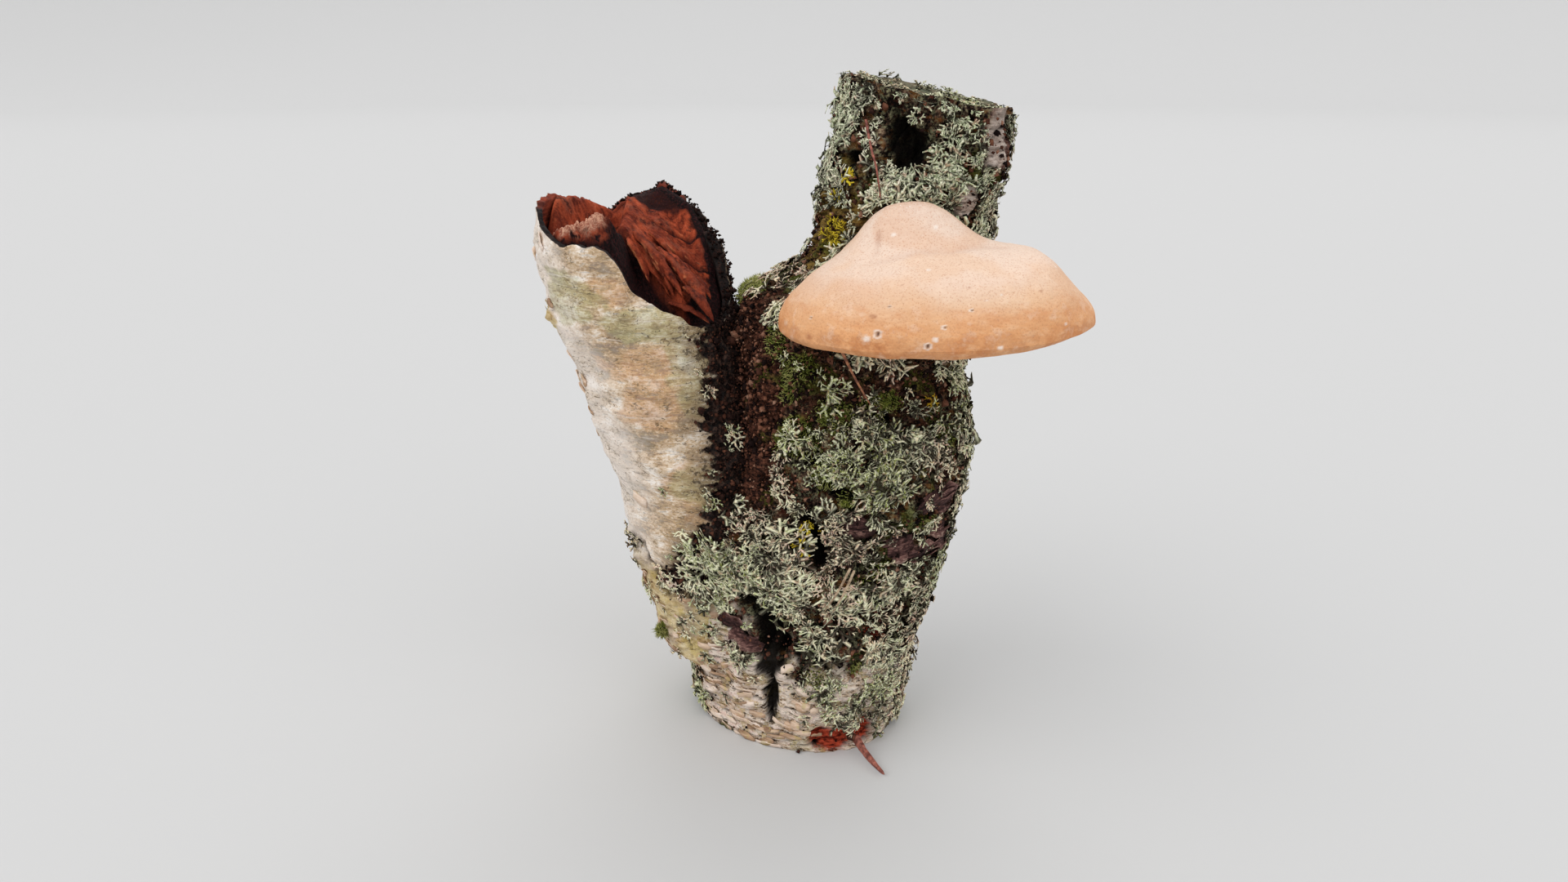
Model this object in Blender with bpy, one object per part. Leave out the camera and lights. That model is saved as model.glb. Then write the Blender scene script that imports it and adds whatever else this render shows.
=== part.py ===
"""A bracket fungus on a forked piece of birch, cut flat at the base so that it stands.

Millimetres below are turned into metres by MM. +Z is up, +X is to the right and -Y is the side
that the bracket grows from. The origin is the centre of the base cut.
"""

import math

import bmesh
import bpy
import numpy as np

MM = 0.001
GAP = 0.35  # clearance between two pieces that touch

# --- driving sizes, in millimetres -------------------------------------------------------------

TRUNK_TOP = 232  # where the upright stem leaves the trunk
STEM_TOP = 303.5  # height of the upright stem's cut, at its middle
STEM_CUT_SLOPE = (-0.19, 0.075)  # the cut falls towards +X and rises a little towards +Y

CAP_CENTRE = (53.2, -60.0)
CAP_HALF_WIDTH = 62.3
CAP_REACH_FRONT = 50.0
CAP_REACH_BACK = 40.0
CAP_RIM_LEVEL = 219.0
CAP_RIM_SLOPE = 0.031  # the rim climbs towards +X
CAP_DOME = 31.0
CAP_UNDERSIDE = 5.5
CAP_HUMP = 16.5
CAP_HUMP_AT = (43.0, -50.0)
CAP_HUMP_SPREAD = (16.0, 12.0)
CAP_OUTLINE_POWER = 2.15  # 2 would be an ellipse from above
CAP_FULLNESS = 0.72  # below 1 the sections swell towards the rim
CAP_DOME_POWER = 2.2
CAP_UNDERSIDE_POWER = 7  # the underside is nearly flat, with a rolled margin
CAP_GRID = (40, 17)

POCKET_FLOOR = 196  # bottom of the rotted hollow in the broken limb
POCKET_LIP = 214  # below this height the wall beside the fork thickens

# The trunk and the upright stem: height, left and right edge, front and back edge, turn in degrees
# of the section's long axis.
TRUNK_SECTIONS = (
    (0, -50.5, 50, -44, 45, -28),
    (16, -52, 52, -45, 46, -26),
    (40, -55.5, 57, -48, 48, -20),
    (75, -55, 67, -51, 50, -8),
    (110, -45, 74, -54, 52, 0),
    (150, -36, 80, -55, 52, 0),
    (185, -31, 76, -53, 50, 0),
    (208, -29, 77, -50, 47, 0),
    (218, -25, 79, -47, 44, 0),
    (224, -13, 80, -45, 42, 0),
    (232, -1, 81, -43, 40, 0),
    (256, 8, 84, -40, 38, 0),
    (281, 12.5, 90, -39, 38, 0),
    (303.5, 18, 92, -37, 36, 0),
)

# The broken limb: height, middle in X and Y, radius.
LIMB_SECTIONS = (
    (24, -24, 10, 27),
    (32, -30, 9, 34),
    (50, -33, 7, 38),
    (75, -39, 5, 39.5),
    (105, -43, 3, 40.5),
    (130, -47, 1, 41),
    (155, -54.5, -1, 41.5),
    (185, -62, -2, 41.5),
    (212, -71.5, -2, 42.5),
    (246, -75.5, -2, 42.5),
    (264, -74, -2, 42),
)

# Height of the limb's broken rim by compass angle: 0 is +X, 90 is +Y.
RIM = (
    (0, 217), (12, 232), (40, 246), (53, 255), (76, 262), (100, 256), (112, 250), (134, 257),
    (163, 260), (197, 256), (231, 246), (257, 245), (271, 233), (290, 220), (303, 213),
    (320, 209), (343, 209),
)
# The rotted heart's broken face, from the limb's middle: a block of wood whose face falls towards
# the fork, a gap in front of it, a hollow on the outer side, and a loose-looking lump at the front.
HEART_FACE = (248, -0.836, 0.374)  # height at the middle, rise per X and per Y
HEART_BLOCK_EDGE = (-11, -3)  # the block starts between these X
HEART_HOLLOW = 236
HEART_LUMP = (-14, -22, 12, 9, 19)  # middle X and Y, half sizes, height
HEART_GAP = (-8, -0.51, 15)  # the gap's back edge: Y at the middle, slope with X, and depth
HEART_STANDS = 60  # how fast the wood may rise above the bark's rim, inwards from it

WALL_THIN = 3.6  # papery bark on the outer side
WALL_THICK = 6.5  # crusted bark next to the fork
HEART_SLACK = 0.3  # the heartwood has shrunk away from its wall

# Fissures, holes and standing plates of the rough bark: from, to, half width, and height of the
# surface there against the bark around it.
BARK_MARKS = (
    ((2, -54, 127), (11, -56, 108), 4.5, -5),
    ((-34, -39, 89), (-19, -50, 75), 5.5, -6),
    ((-19, -50, 75), (-7, -48, 57), 6.5, -8),
    ((-15, -45, 44), (-14, -42, 20), 4, -5),
    ((50, -46, 84), (55, -42, 78), 5, -6),
    ((9, -56, 141), (15, -56, 141), 4, -4),
    ((4, -51, 49), (12, -51, 49), 4, -4),
    ((38, -40, 294), (44, -39, 281), 8, -9),
    ((62, -46, 131), (67, -38, 131), 7, 3),
    ((64, -40, 112), (67, -33, 108), 7, 3),
    ((46, -50, 111), (54, -46, 107), 5, 2.5),
    ((23, -57, 124), (27, -57, 124), 5, 2.5),
    ((79, -30, 294), (84, -25, 278), 5, 2.5),
    ((-5, 50, 150), (2, 51, 118), 5, -6),
    ((40, 50, 96), (34, 49, 66), 6, -7),
    ((60, 40, 190), (63, 38, 165), 5, -5),
    ((10, 47, 60), (14, 46, 28), 5, -5),
    ((76, 15, 120), (72, 18, 98), 6, 3),
)

LEDGE_CENTRE = (-12, 4, 215)  # cushion of moss and lichen in the fork
LEDGE_RADII = (20, 31, 13.5)
SPRIG_CENTRE = (-67.5, -13, 51)
SPRIG_RADII = (4.5, 3.5, 4)

# Loose strands: thickness, then points along them.
PINE_NEEDLES = (
    (1.2, ((22, -58.5, 106.5), (17, -57.8, 95), (11, -56.2, 83.8))),
    (1.2, ((23.8, -58.5, 105.4), (19.5, -58.1, 94), (14.5, -56.8, 83.3))),
)
CAP_NEEDLE = (1.3, ((13.5, -58, 212), (17, -58.5, 204), (22, -58.8, 194), (29, -57, 181.4)))
ROOT_FIBRE = (1.1, ((26, -30.5, 294.5), (28, -34.6, 284), (30.2, -37.9, 275.8), (32.2, -39.3, 263.3)))
SPLINTER = (3.6, ((28, -44.2, 7), (31, -49.5, 4.6), (35.2, -56.7, 2.8), (39.7, -64, 1.6)))

SECTION_POWER = 2.25
TRUNK_SIDES = 60
FRONT_BIAS = 0.35  # the sides are closer together towards -Y
LIMB_SIDES = 44


# --- formulas ----------------------------------------------------------------------------------

def table(sections, height):
    """Smooth values at a height from rows that start with their own height."""
    rows = np.array(sections, float)
    heights = rows[:, 0]
    slopes = np.gradient(rows[:, 1:], heights, axis=0)
    i = int(np.clip(np.searchsorted(heights, height) - 1, 0, len(heights) - 2))
    span = heights[i + 1] - heights[i]
    t = min(max((height - heights[i]) / span, 0.0), 1.0)
    low, high = rows[i, 1:], rows[i + 1, 1:]
    return (
        (2 * t**3 - 3 * t**2 + 1) * low
        + (t**3 - 2 * t**2 + t) * span * slopes[i] * 0.8
        + (3 * t**2 - 2 * t**3) * high
        + (t**3 - t**2) * span * slopes[i + 1] * 0.8
    )


def waves(points, size, seed, count=9):
    """Rounded bumps between -1 and 1: a mean of sine waves of one size that run in all directions."""
    draw = np.random.RandomState(seed)
    directions = draw.normal(size=(count, 3))
    directions /= np.linalg.norm(directions, axis=1)[:, None]
    phase = draw.uniform(0, 2 * math.pi, count)
    turns = points @ directions.T * (2 * math.pi / size) + phase
    return np.clip(np.sin(turns).sum(1) / math.sqrt(count) * 0.9, -1, 1)


def rim_height(angles):
    """Height of the limb's broken edge at compass angles in degrees."""
    around = np.array(RIM, float)
    return np.interp(np.mod(angles, 360), around[:, 0], around[:, 1], period=360)


def trunk_ring(height, sides, grow=0.0, relief=True):
    """Points of the trunk's skin at one height, as a superellipse with bark lumps."""
    left, right, front, back, turn = table(TRUNK_SECTIONS, height)
    across, deep = (right - left) / 2, (back - front) / 2
    middle = np.array([(left + right) / 2, (front + back) / 2])
    angle = np.linspace(0, 2 * math.pi, sides, endpoint=False)
    angle = angle - FRONT_BIAS * np.cos(angle)
    turn = math.radians(turn)
    if turn:
        wide = math.sqrt(max(across**2 - (deep * math.sin(turn)) ** 2, 1)) / math.cos(turn)
        deep = math.sqrt(max(deep**2 - (wide * math.sin(turn)) ** 2, 1)) / math.cos(turn)
        across = wide
    c, s = np.cos(angle - turn), np.sin(angle - turn)
    radius = (np.abs(c / across) ** SECTION_POWER + np.abs(s / deep) ** SECTION_POWER) ** (
        -1 / SECTION_POWER
    )
    out = np.stack([np.cos(angle), np.sin(angle)], axis=1)
    flat = middle + out * radius[:, None]
    tilt = np.array(STEM_CUT_SLOPE) * np.clip((height - TRUNK_TOP) / (STEM_TOP - TRUNK_TOP), 0, 1)
    points = np.column_stack([flat, height + (flat - middle) @ tilt])
    if relief:
        radius = radius + bark_relief(points)
    points[:, :2] = middle + out * (radius + grow)[:, None]
    return points


def bark_relief(points):
    """How far lumps of bark and lichen stand proud of the plain trunk, in millimetres."""
    height = 1.5 * waves(points * (1, 1, 0.8), 34, 3) + 1.0 * waves(points, 17, 7)
    for start, end, half_width, rise in BARK_MARKS:
        start, run = np.array(start, float), np.subtract(end, start)
        share = np.clip((points - start) @ run / (run @ run), 0, 1)
        away = np.linalg.norm(points - start - share[:, None] * run, axis=1)
        height += rise * np.exp(-((away / half_width) ** 2))
    foot = np.clip(points[:, 2] / 12, 0.25, 1)
    return height * foot


def limb_ring(height, sides, shrink=0.0, relief=True):
    """Points of the limb's skin at one height, or with a list of heights at each side's own."""
    angle = np.linspace(0, 2 * math.pi, sides, endpoint=False)
    heights = np.broadcast_to(np.asarray(height, float), angle.shape)
    rows = np.array([table(LIMB_SECTIONS, h) for h in heights])
    out = np.stack([np.cos(angle), np.sin(angle)], axis=1)
    points = np.column_stack([rows[:, :2] + out * rows[:, 2:], heights])
    radius = rows[:, 2] - shrink
    if relief:
        radius = radius + 0.9 * waves(points * (1, 1, 1.6), 48, 11)
        radius = radius + 0.5 * waves(points * (1, 1, 2.5), 22, 12)
    points[:, :2] = rows[:, :2] + out * radius[:, None]
    return points


def pocket_ring(height, grow=0.0):
    """Points of the pocket's wall: thick bark beside the fork, papery bark on the outer side."""
    angle = np.linspace(0, 2 * math.pi, LIMB_SIDES, endpoint=False)
    beside_fork = (0.5 + 0.5 * np.cos(angle - math.radians(35))) ** 1.5
    wall = WALL_THIN + (WALL_THICK - WALL_THIN) * beside_fork
    wall = wall + 0.25 * np.clip(POCKET_LIP - np.asarray(height, float), 0, None) * beside_fork
    return limb_ring(height, LIMB_SIDES, wall - grow, relief=False)


# --- Blender helpers ---------------------------------------------------------------------------

def clear_scene():
    for item in list(bpy.data.objects):
        bpy.data.objects.remove(item, do_unlink=True)


def collection(name):
    made = bpy.data.collections.new(name)
    bpy.context.scene.collection.children.link(made)
    return made


def material(name, colour, roughness):
    made = bpy.data.materials.new(name)
    made.use_nodes = True
    surface = made.node_tree.nodes["Principled BSDF"]
    surface.inputs["Base Color"].default_value = (*colour, 1)
    surface.inputs["Roughness"].default_value = roughness
    surface.inputs["Metallic"].default_value = 0
    made.diffuse_color = (*colour, 1)
    return made


def put(name, mesh, finish, group, sharp=50):
    """Links a mesh as a named piece with its material and smooth shading."""
    piece = bpy.data.objects.new(name, mesh)
    group.objects.link(piece)
    mesh.materials.append(finish)
    mesh.shade_smooth()
    mesh.set_sharp_from_angle(angle=math.radians(sharp))
    return piece


def loft(name, rings, finish, group, sharp=50):
    """A closed skin through rings with the same number of points, closed at each end by a fan."""
    shape = bmesh.new()
    made = [[shape.verts.new(p * MM) for p in ring] for ring in rings]
    sides = len(rings[0])
    for low, high in zip(made, made[1:]):
        for i in range(sides):
            j = (i + 1) % sides
            shape.faces.new((low[i], low[j], high[j], high[i]))
    for ring, points, turned in ((made[0], rings[0], True), (made[-1], rings[-1], False)):
        hub = shape.verts.new(points.mean(0) * MM)
        for i in range(sides):
            j = (i + 1) % sides
            shape.faces.new((ring[j], ring[i], hub) if turned else (ring[i], ring[j], hub))
    bmesh.ops.triangulate(shape, faces=shape.faces)
    mesh = bpy.data.meshes.new(name)
    shape.to_mesh(mesh)
    shape.free()
    return put(name, mesh, finish, group, sharp)


def cut(piece, cutter, operation="DIFFERENCE"):
    """A Boolean with a wire cutter that doesn't render."""
    cutter.hide_render = True
    cutter.display_type = "WIRE"
    modifier = piece.modifiers.new(f"{operation.lower()}_{cutter.name}", "BOOLEAN")
    modifier.operation = operation
    modifier.object = cutter
    modifier.solver = "EXACT"


# --- pieces ------------------------------------------------------------------------------------

def trunk_heights():
    return [*np.linspace(0, 200, 20), 208, 214, 219, 224, 228, TRUNK_TOP]


def stem_heights():
    return list(np.linspace(TRUNK_TOP + 9, STEM_TOP, 8))


def build_trunk(group, finish):
    rings = [trunk_ring(h, TRUNK_SIDES) for h in trunk_heights()]
    return loft("trunk", rings, finish, group)


def build_stem(group, finish):
    rings = [trunk_ring(h, TRUNK_SIDES) for h in [TRUNK_TOP + GAP, *stem_heights()]]
    return loft("upright_stem", rings, finish, group)


def trunk_cutter(group, finish):
    """The trunk and the stem in one, a gap larger, for pieces that grow against them."""
    rings = [trunk_ring(h, TRUNK_SIDES, grow=GAP) for h in [*trunk_heights(), *stem_heights()]]
    return loft("trunk_cutter", rings, finish, group)


def limb_rings(grow=0.0):
    """The limb's skin from its blunt foot, through level rings, to the broken rim."""
    angle = np.degrees(np.linspace(0, 2 * math.pi, LIMB_SIDES, endpoint=False))
    level = [24, 32, 44, 60, 76, 92, 108, 124, 140, 156, 172, 188]
    climb = rim_height(angle) - level[-1]
    heights = [*level, *(level[-1] + climb * share for share in (0.25, 0.5, 0.75, 1.0))]
    return [limb_ring(h, LIMB_SIDES, -grow) for h in heights]


def limb_cutter(group, finish):
    """The unhollowed limb, a gap larger, for moss that grows against it."""
    return loft("limb_cutter", limb_rings(GAP), finish, group)


def build_limb(group, cutters, finish, trunk):
    """The broken limb: bark and wood, with a pocket where its heart has rotted."""
    limb = loft("broken_limb", limb_rings(), finish, group)
    pocket_rings = [pocket_ring(h) for h in (POCKET_FLOOR, 202, 208, 214, 228, 242, 256, 264)]
    top = pocket_rings[-1] + (0, 0, 26)
    pocket = loft("pocket_cutter", [*pocket_rings, top], finish, cutters)
    cut(limb, trunk)
    cut(limb, pocket)
    return limb


def smooth(value, low, high):
    """0 below low, 1 above high and an S-curve between them."""
    t = np.clip((value - low) / (high - low), 0, 1)
    return t * t * (3 - 2 * t)


def heart_surface(x, y, angle, share):
    """Height of the rotted heart's broken face, from the limb's middle out to its wall."""
    rim = rim_height(np.degrees(angle)) - 2
    block = smooth(x, *HEART_BLOCK_EDGE)
    face = HEART_FACE[0] + HEART_FACE[1] * x + HEART_FACE[2] * y
    height = HEART_HOLLOW + (face - HEART_HOLLOW) * block
    height -= HEART_GAP[2] * block * smooth(HEART_GAP[0] + HEART_GAP[1] * x - y, 0, 5)
    middle_x, middle_y, half_x, half_y, rise = HEART_LUMP
    height += rise * np.exp(-(((x - middle_x) / half_x) ** 4) - ((y - middle_y) / half_y) ** 4)
    behind = smooth(np.sin(angle - 0.2), -0.1, 0.5)
    lining = smooth(share, 0.72, 0.97) * behind
    height += (rim - height) * lining
    return np.minimum(height, rim + HEART_STANDS * (1 - share))


def build_heart(group, finish):
    """The rotted heartwood: a plug in the pocket with a slanting, broken face."""
    angle = np.linspace(0, 2 * math.pi, LIMB_SIDES, endpoint=False)
    clearance = -GAP - HEART_SLACK
    floor = POCKET_FLOOR + GAP
    middle = table(LIMB_SECTIONS, 228)[:2]
    flat = pocket_ring(222, clearance)[:, :2] - middle
    edge = heart_surface(flat[:, 0], flat[:, 1], angle, np.ones(LIMB_SIDES))
    edge = np.maximum(edge, floor + 2)
    rings = [pocket_ring(floor + (edge - floor) * share, clearance) for share in (0, 0.35, 0.7, 1)]
    rim_points = rings[-1]
    for share in (0.92, 0.83, 0.73, 0.62, 0.5, 0.37, 0.24, 0.1):
        inner = rim_points.copy()
        inner[:, :2] = middle + (rim_points[:, :2] - middle) * share
        local = inner[:, :2] - middle
        inner[:, 2] = heart_surface(local[:, 0], local[:, 1], angle, np.full(LIMB_SIDES, share))
        rings.append(inner)
    return loft("rotted_heartwood", rings, finish, group, sharp=35)


def cap_point(direction, rise):
    """A point of the bracket from its compass direction and its rise from -1 below to 1 on top."""
    c, s = math.cos(direction), math.sin(direction)
    reach_y = CAP_REACH_FRONT if s < 0 else CAP_REACH_BACK
    power = CAP_OUTLINE_POWER
    reach = (abs(c / CAP_HALF_WIDTH) ** power + abs(s / reach_y) ** power) ** (-1 / power)
    spread = min(math.cos(rise * math.pi / 2) ** CAP_FULLNESS, 1)
    x = CAP_CENTRE[0] + c * reach * spread
    y = CAP_CENTRE[1] + s * reach * spread
    rim = CAP_RIM_LEVEL + CAP_RIM_SLOPE * (x - CAP_CENTRE[0])
    if rise >= 0:
        z = rim + CAP_DOME * (1 - spread**CAP_DOME_POWER) ** (1 / CAP_DOME_POWER)
        away_x = (x - CAP_HUMP_AT[0]) / CAP_HUMP_SPREAD[0]
        away_y = (y - CAP_HUMP_AT[1]) / CAP_HUMP_SPREAD[1] if y < CAP_HUMP_AT[1] else 0
        z += CAP_HUMP * math.exp(-(away_x**2 + away_y**2) / 2) * (1 - spread**6)
    else:
        z = rim - CAP_UNDERSIDE * (1 - spread**CAP_UNDERSIDE_POWER) ** 0.5
    return x * MM, y * MM, z * MM


def build_cap(group, finish, trunk):
    """The bracket: a dome with a rolled margin, a flat underside and a hump where it is attached."""
    shape = bmesh.new()
    bmesh.ops.create_uvsphere(shape, u_segments=CAP_GRID[0], v_segments=CAP_GRID[1], radius=1)
    for vert in shape.verts:
        direction = math.atan2(vert.co.y, vert.co.x)
        rise = math.asin(max(-1.0, min(1.0, vert.co.z))) / (math.pi / 2)
        vert.co = cap_point(direction, rise)
    mesh = bpy.data.meshes.new("bracket_cap")
    shape.to_mesh(mesh)
    shape.free()
    cap = put("bracket_cap", mesh, finish, group)
    cut(cap, trunk)
    return cap


def build_cushion(name, centre, radii, sizes, group, finish, carriers):
    """A rounded cushion of moss, cut to the surfaces that it grows on."""
    shape = bmesh.new()
    bmesh.ops.create_uvsphere(shape, u_segments=sizes[0], v_segments=sizes[1], radius=1)
    for vert in shape.verts:
        vert.co = [(c + r * v) * MM for c, r, v in zip(centre, radii, vert.co)]
    mesh = bpy.data.meshes.new(name)
    shape.to_mesh(mesh)
    shape.free()
    cushion = put(name, mesh, finish, group)
    for carrier in carriers:
        cut(cushion, carrier)
    return cushion


def build_strand(name, strand, group, finish, tip=0.45):
    """A needle, fibre or splinter: a round tube that thins towards its last point."""
    thickness, points = strand
    path = bpy.data.curves.new(name, "CURVE")
    path.dimensions = "3D"
    path.bevel_depth = thickness / 2 * MM
    path.bevel_resolution = 1
    path.use_fill_caps = True
    line = path.splines.new("POLY")
    line.points.add(len(points) - 1)
    for i, (node, place) in enumerate(zip(line.points, points)):
        node.co = (*(v * MM for v in place), 1)
        node.radius = 1 - (1 - tip) * i / (len(points) - 1)
    path.materials.append(finish)
    piece = bpy.data.objects.new(name, path)
    group.objects.link(piece)
    return piece


def main():
    clear_scene()
    pieces = collection("bracket_fungus")
    cutters = collection("cutters")
    bark = material("rough_bark", (0.16, 0.14, 0.1), 0.95)
    pale = material("birch_bark", (0.62, 0.55, 0.43), 0.7)
    rotten = material("rotted_wood", (0.3, 0.08, 0.03), 0.85)
    skin = material("fungus_skin", (0.8, 0.48, 0.28), 0.6)
    moss = material("moss", (0.14, 0.2, 0.05), 0.95)
    dry = material("dry_needle", (0.5, 0.33, 0.17), 0.6)
    red = material("red_fibre", (0.33, 0.08, 0.05), 0.7)
    trunk = trunk_cutter(cutters, bark)
    limb = limb_cutter(cutters, bark)
    build_trunk(pieces, bark)
    build_stem(pieces, bark)
    build_limb(pieces, cutters, pale, trunk)
    build_heart(pieces, rotten)
    build_cap(pieces, skin, trunk)
    build_cushion("crotch_moss", LEDGE_CENTRE, LEDGE_RADII, (18, 10), pieces, moss, (trunk, limb))
    build_cushion("moss_sprig", SPRIG_CENTRE, SPRIG_RADII, (8, 6), pieces, moss, (limb,))
    for number, needle in enumerate(PINE_NEEDLES, 1):
        build_strand(f"pine_needle_{number}", needle, pieces, dry)
    build_strand("cap_needle", CAP_NEEDLE, pieces, dry)
    build_strand("root_fibre", ROOT_FIBRE, pieces, red)
    build_strand("base_splinter", SPLINTER, pieces, red, tip=0.3)


main()
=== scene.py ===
"""Looks of a bracket fungus on a forked piece of birch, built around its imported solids.

Lengths in the tables are millimetres, and MM turns them into metres. +Z is up, the bracket grows
towards -Y, and the origin is the centre of the base cut.
"""

import functools
import itertools
import math

import bpy
import numpy as np
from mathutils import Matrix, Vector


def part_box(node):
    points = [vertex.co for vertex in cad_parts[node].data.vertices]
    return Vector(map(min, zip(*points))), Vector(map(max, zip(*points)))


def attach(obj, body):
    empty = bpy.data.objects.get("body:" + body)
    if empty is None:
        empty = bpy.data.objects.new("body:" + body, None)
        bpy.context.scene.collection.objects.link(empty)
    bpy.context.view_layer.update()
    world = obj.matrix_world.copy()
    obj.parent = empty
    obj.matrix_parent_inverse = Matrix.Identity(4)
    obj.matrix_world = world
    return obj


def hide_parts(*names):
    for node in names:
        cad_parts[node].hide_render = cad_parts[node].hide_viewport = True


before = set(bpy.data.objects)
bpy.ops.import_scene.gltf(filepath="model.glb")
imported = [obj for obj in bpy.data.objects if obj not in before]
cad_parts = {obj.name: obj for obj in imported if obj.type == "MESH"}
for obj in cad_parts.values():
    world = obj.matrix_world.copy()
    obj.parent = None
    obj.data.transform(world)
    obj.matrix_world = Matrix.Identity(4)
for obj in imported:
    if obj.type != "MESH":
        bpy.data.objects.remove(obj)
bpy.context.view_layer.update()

bl_info = {
    "name": "Bracket fungus on birch",
    "version": (1, 0, 0),
    "blender": (4, 5, 0),
    "location": "View3D > Sidebar > Bracket",
    "description": "Bark, lichen, moss, rotted wood and the bracket, as surfaces worked out with numpy",
    "category": "Object",
}

MM = 0.001
BODY = "root"

# --- the solids' own tables, so that every surface lies where its solid is ---

TRUNK_TOP = 232
STEM_TOP = 303.5
STEM_CUT_SLOPE = (-0.19, 0.075)
SECTION_POWER = 2.25
# Height, left and right edge, front and back edge, turn in degrees.
TRUNK_SECTIONS = (
    (0, -50.5, 50, -44, 45, -28),
    (16, -52, 52, -45, 46, -26),
    (40, -55.5, 57, -48, 48, -20),
    (75, -55, 67, -51, 50, -8),
    (110, -45, 74, -54, 52, 0),
    (150, -36, 80, -55, 52, 0),
    (185, -31, 76, -53, 50, 0),
    (208, -29, 77, -50, 47, 0),
    (218, -25, 79, -47, 44, 0),
    (224, -13, 80, -45, 42, 0),
    (232, -1, 81, -43, 40, 0),
    (256, 8, 84, -40, 38, 0),
    (281, 12.5, 90, -39, 38, 0),
    (303.5, 18, 92, -37, 36, 0),
)
LIMB_FOOT = 24
# Height, middle in X and Y, radius.
LIMB_SECTIONS = (
    (LIMB_FOOT, -24, 10, 27),
    (32, -30, 9, 34),
    (50, -33, 7, 38),
    (75, -39, 5, 39.5),
    (105, -43, 3, 40.5),
    (130, -47, 1, 41),
    (155, -54.5, -1, 41.5),
    (185, -62, -2, 41.5),
    (212, -71.5, -2, 42.5),
    (246, -75.5, -2, 42.5),
    (264, -74, -2, 42),
)
# Compass angle, with 0 at +X and 90 at +Y, and height of the limb's broken edge.
RIM = (
    (0, 217), (12, 232), (40, 246), (53, 255), (76, 262), (100, 256), (112, 250), (134, 257),
    (163, 260), (197, 256), (231, 246), (257, 245), (271, 233), (290, 220), (303, 213),
    (320, 209), (343, 209),
)
# The limb's hollow: its floor, the height below which its wall thickens, and the wall.
POCKET_FLOOR = 196
POCKET_LIP = 214
WALL_THIN = 3.6
WALL_THICK = 6.5
FORK_SIDE = math.radians(35)  # compass angle of the limb's side that faces the fork
# From, to, half width, and height against the bark around it.
BARK_MARKS = (
    ((2, -54, 127), (11, -56, 108), 4.5, -5), ((-34, -39, 89), (-19, -50, 75), 5.5, -6),
    ((-19, -50, 75), (-7, -48, 57), 6.5, -8), ((-15, -45, 44), (-14, -42, 20), 4, -5),
    ((50, -46, 84), (55, -42, 78), 5, -6), ((9, -56, 141), (15, -56, 141), 4, -4),
    ((4, -51, 49), (12, -51, 49), 4, -4), ((38, -40, 294), (44, -39, 281), 8, -9),
    ((62, -46, 131), (67, -38, 131), 7, 3), ((64, -40, 112), (67, -33, 108), 7, 3),
    ((46, -50, 111), (54, -46, 107), 5, 2.5), ((23, -57, 124), (27, -57, 124), 5, 2.5),
    ((79, -30, 294), (84, -25, 278), 5, 2.5), ((-5, 50, 150), (2, 51, 118), 5, -6),
    ((40, 50, 96), (34, 49, 66), 6, -7), ((60, 40, 190), (63, 38, 165), 5, -5),
    ((10, 47, 60), (14, 46, 28), 5, -5), ((76, 15, 120), (72, 18, 98), 6, 3),
)
# The rotted wood, measured from the limb's middle.
HEART_FACE = (248, -0.836, 0.374)  # height at the middle, rise towards +X and towards +Y
HEART_BLOCK_EDGE = (-11, -3)  # X where the block begins and where it is whole
HEART_HOLLOW = 236
HEART_LUMP = (-14, -22, 12, 9, 19)  # middle in X and Y, half sizes, rise
HEART_GAP = (-8, -0.51, 15)  # Y of its edge at the middle, slope of the edge, depth
HEART_STANDS = 60  # how much more than at its edge the wood may stand above the rim

CAP_CENTRE = (53.2, -60.0)
CAP_HALF_WIDTH = 62.3
CAP_REACH_FRONT = 50.0
CAP_REACH_BACK = 40.0
CAP_RIM_LEVEL = 219.0
CAP_RIM_SLOPE = 0.031
CAP_HUMP_Y = -50.0
CAP_HUMP_SPREAD_Y = 12.0
CAP_OUTLINE_POWER = 2.15
CAP_FULLNESS = 0.72
CAP_DOME_POWER = 2.2
CAP_UNDERSIDE_POWER = 7


# --- formulas on whole arrays ---

def smooth(value, low, high):
    """0 at low, 1 at high, an S-curve between them and level beyond them. low may be the larger one."""
    t = np.clip((value - low) / (high - low), 0, 1)
    return t * t * (3 - 2 * t)


def chance(cells, seed):
    """A repeatable number from 0 to 1 for each whole-numbered cell, from a hash of its indices."""
    c = cells.astype(np.int64).astype(np.uint32)
    n = c[..., 0] * np.uint32(374761393) + c[..., 1] * np.uint32(668265263)
    n = n + c[..., 2] * np.uint32(2246822519) + np.uint32(seed * 3266489917 & 0xFFFFFFFF)
    n = (n ^ (n >> np.uint32(13))) * np.uint32(1274126177)
    n = (n ^ (n >> np.uint32(16))) * np.uint32(2654435761)
    return (n ^ (n >> np.uint32(15))) / 2.0**32


def noise(points, size, seed, octaves=3):
    """Smooth noise from about -1 to 1: random values at lattice corners, blended between them.

    Each octave has half the size and half the weight of the one before it.
    """
    total, weight, whole = 0.0, 1.0, 0.0
    size = np.asarray(size, float)
    for octave in range(octaves):
        place = points / size + 31.7 * (seed + 1)
        cell = np.floor(place)
        t = place - cell
        t = t * t * (3 - 2 * t)
        value = 0.0
        for corner in itertools.product((0, 1), repeat=3):
            corner = np.array(corner)
            share = np.where(corner, t, 1 - t).prod(-1)
            value = value + share * chance(cell + corner, seed + octave)
        total = total + weight * (value * 2 - 1)
        whole += weight
        weight /= 2
        size = size / 2
    return total / whole * 1.5


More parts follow.
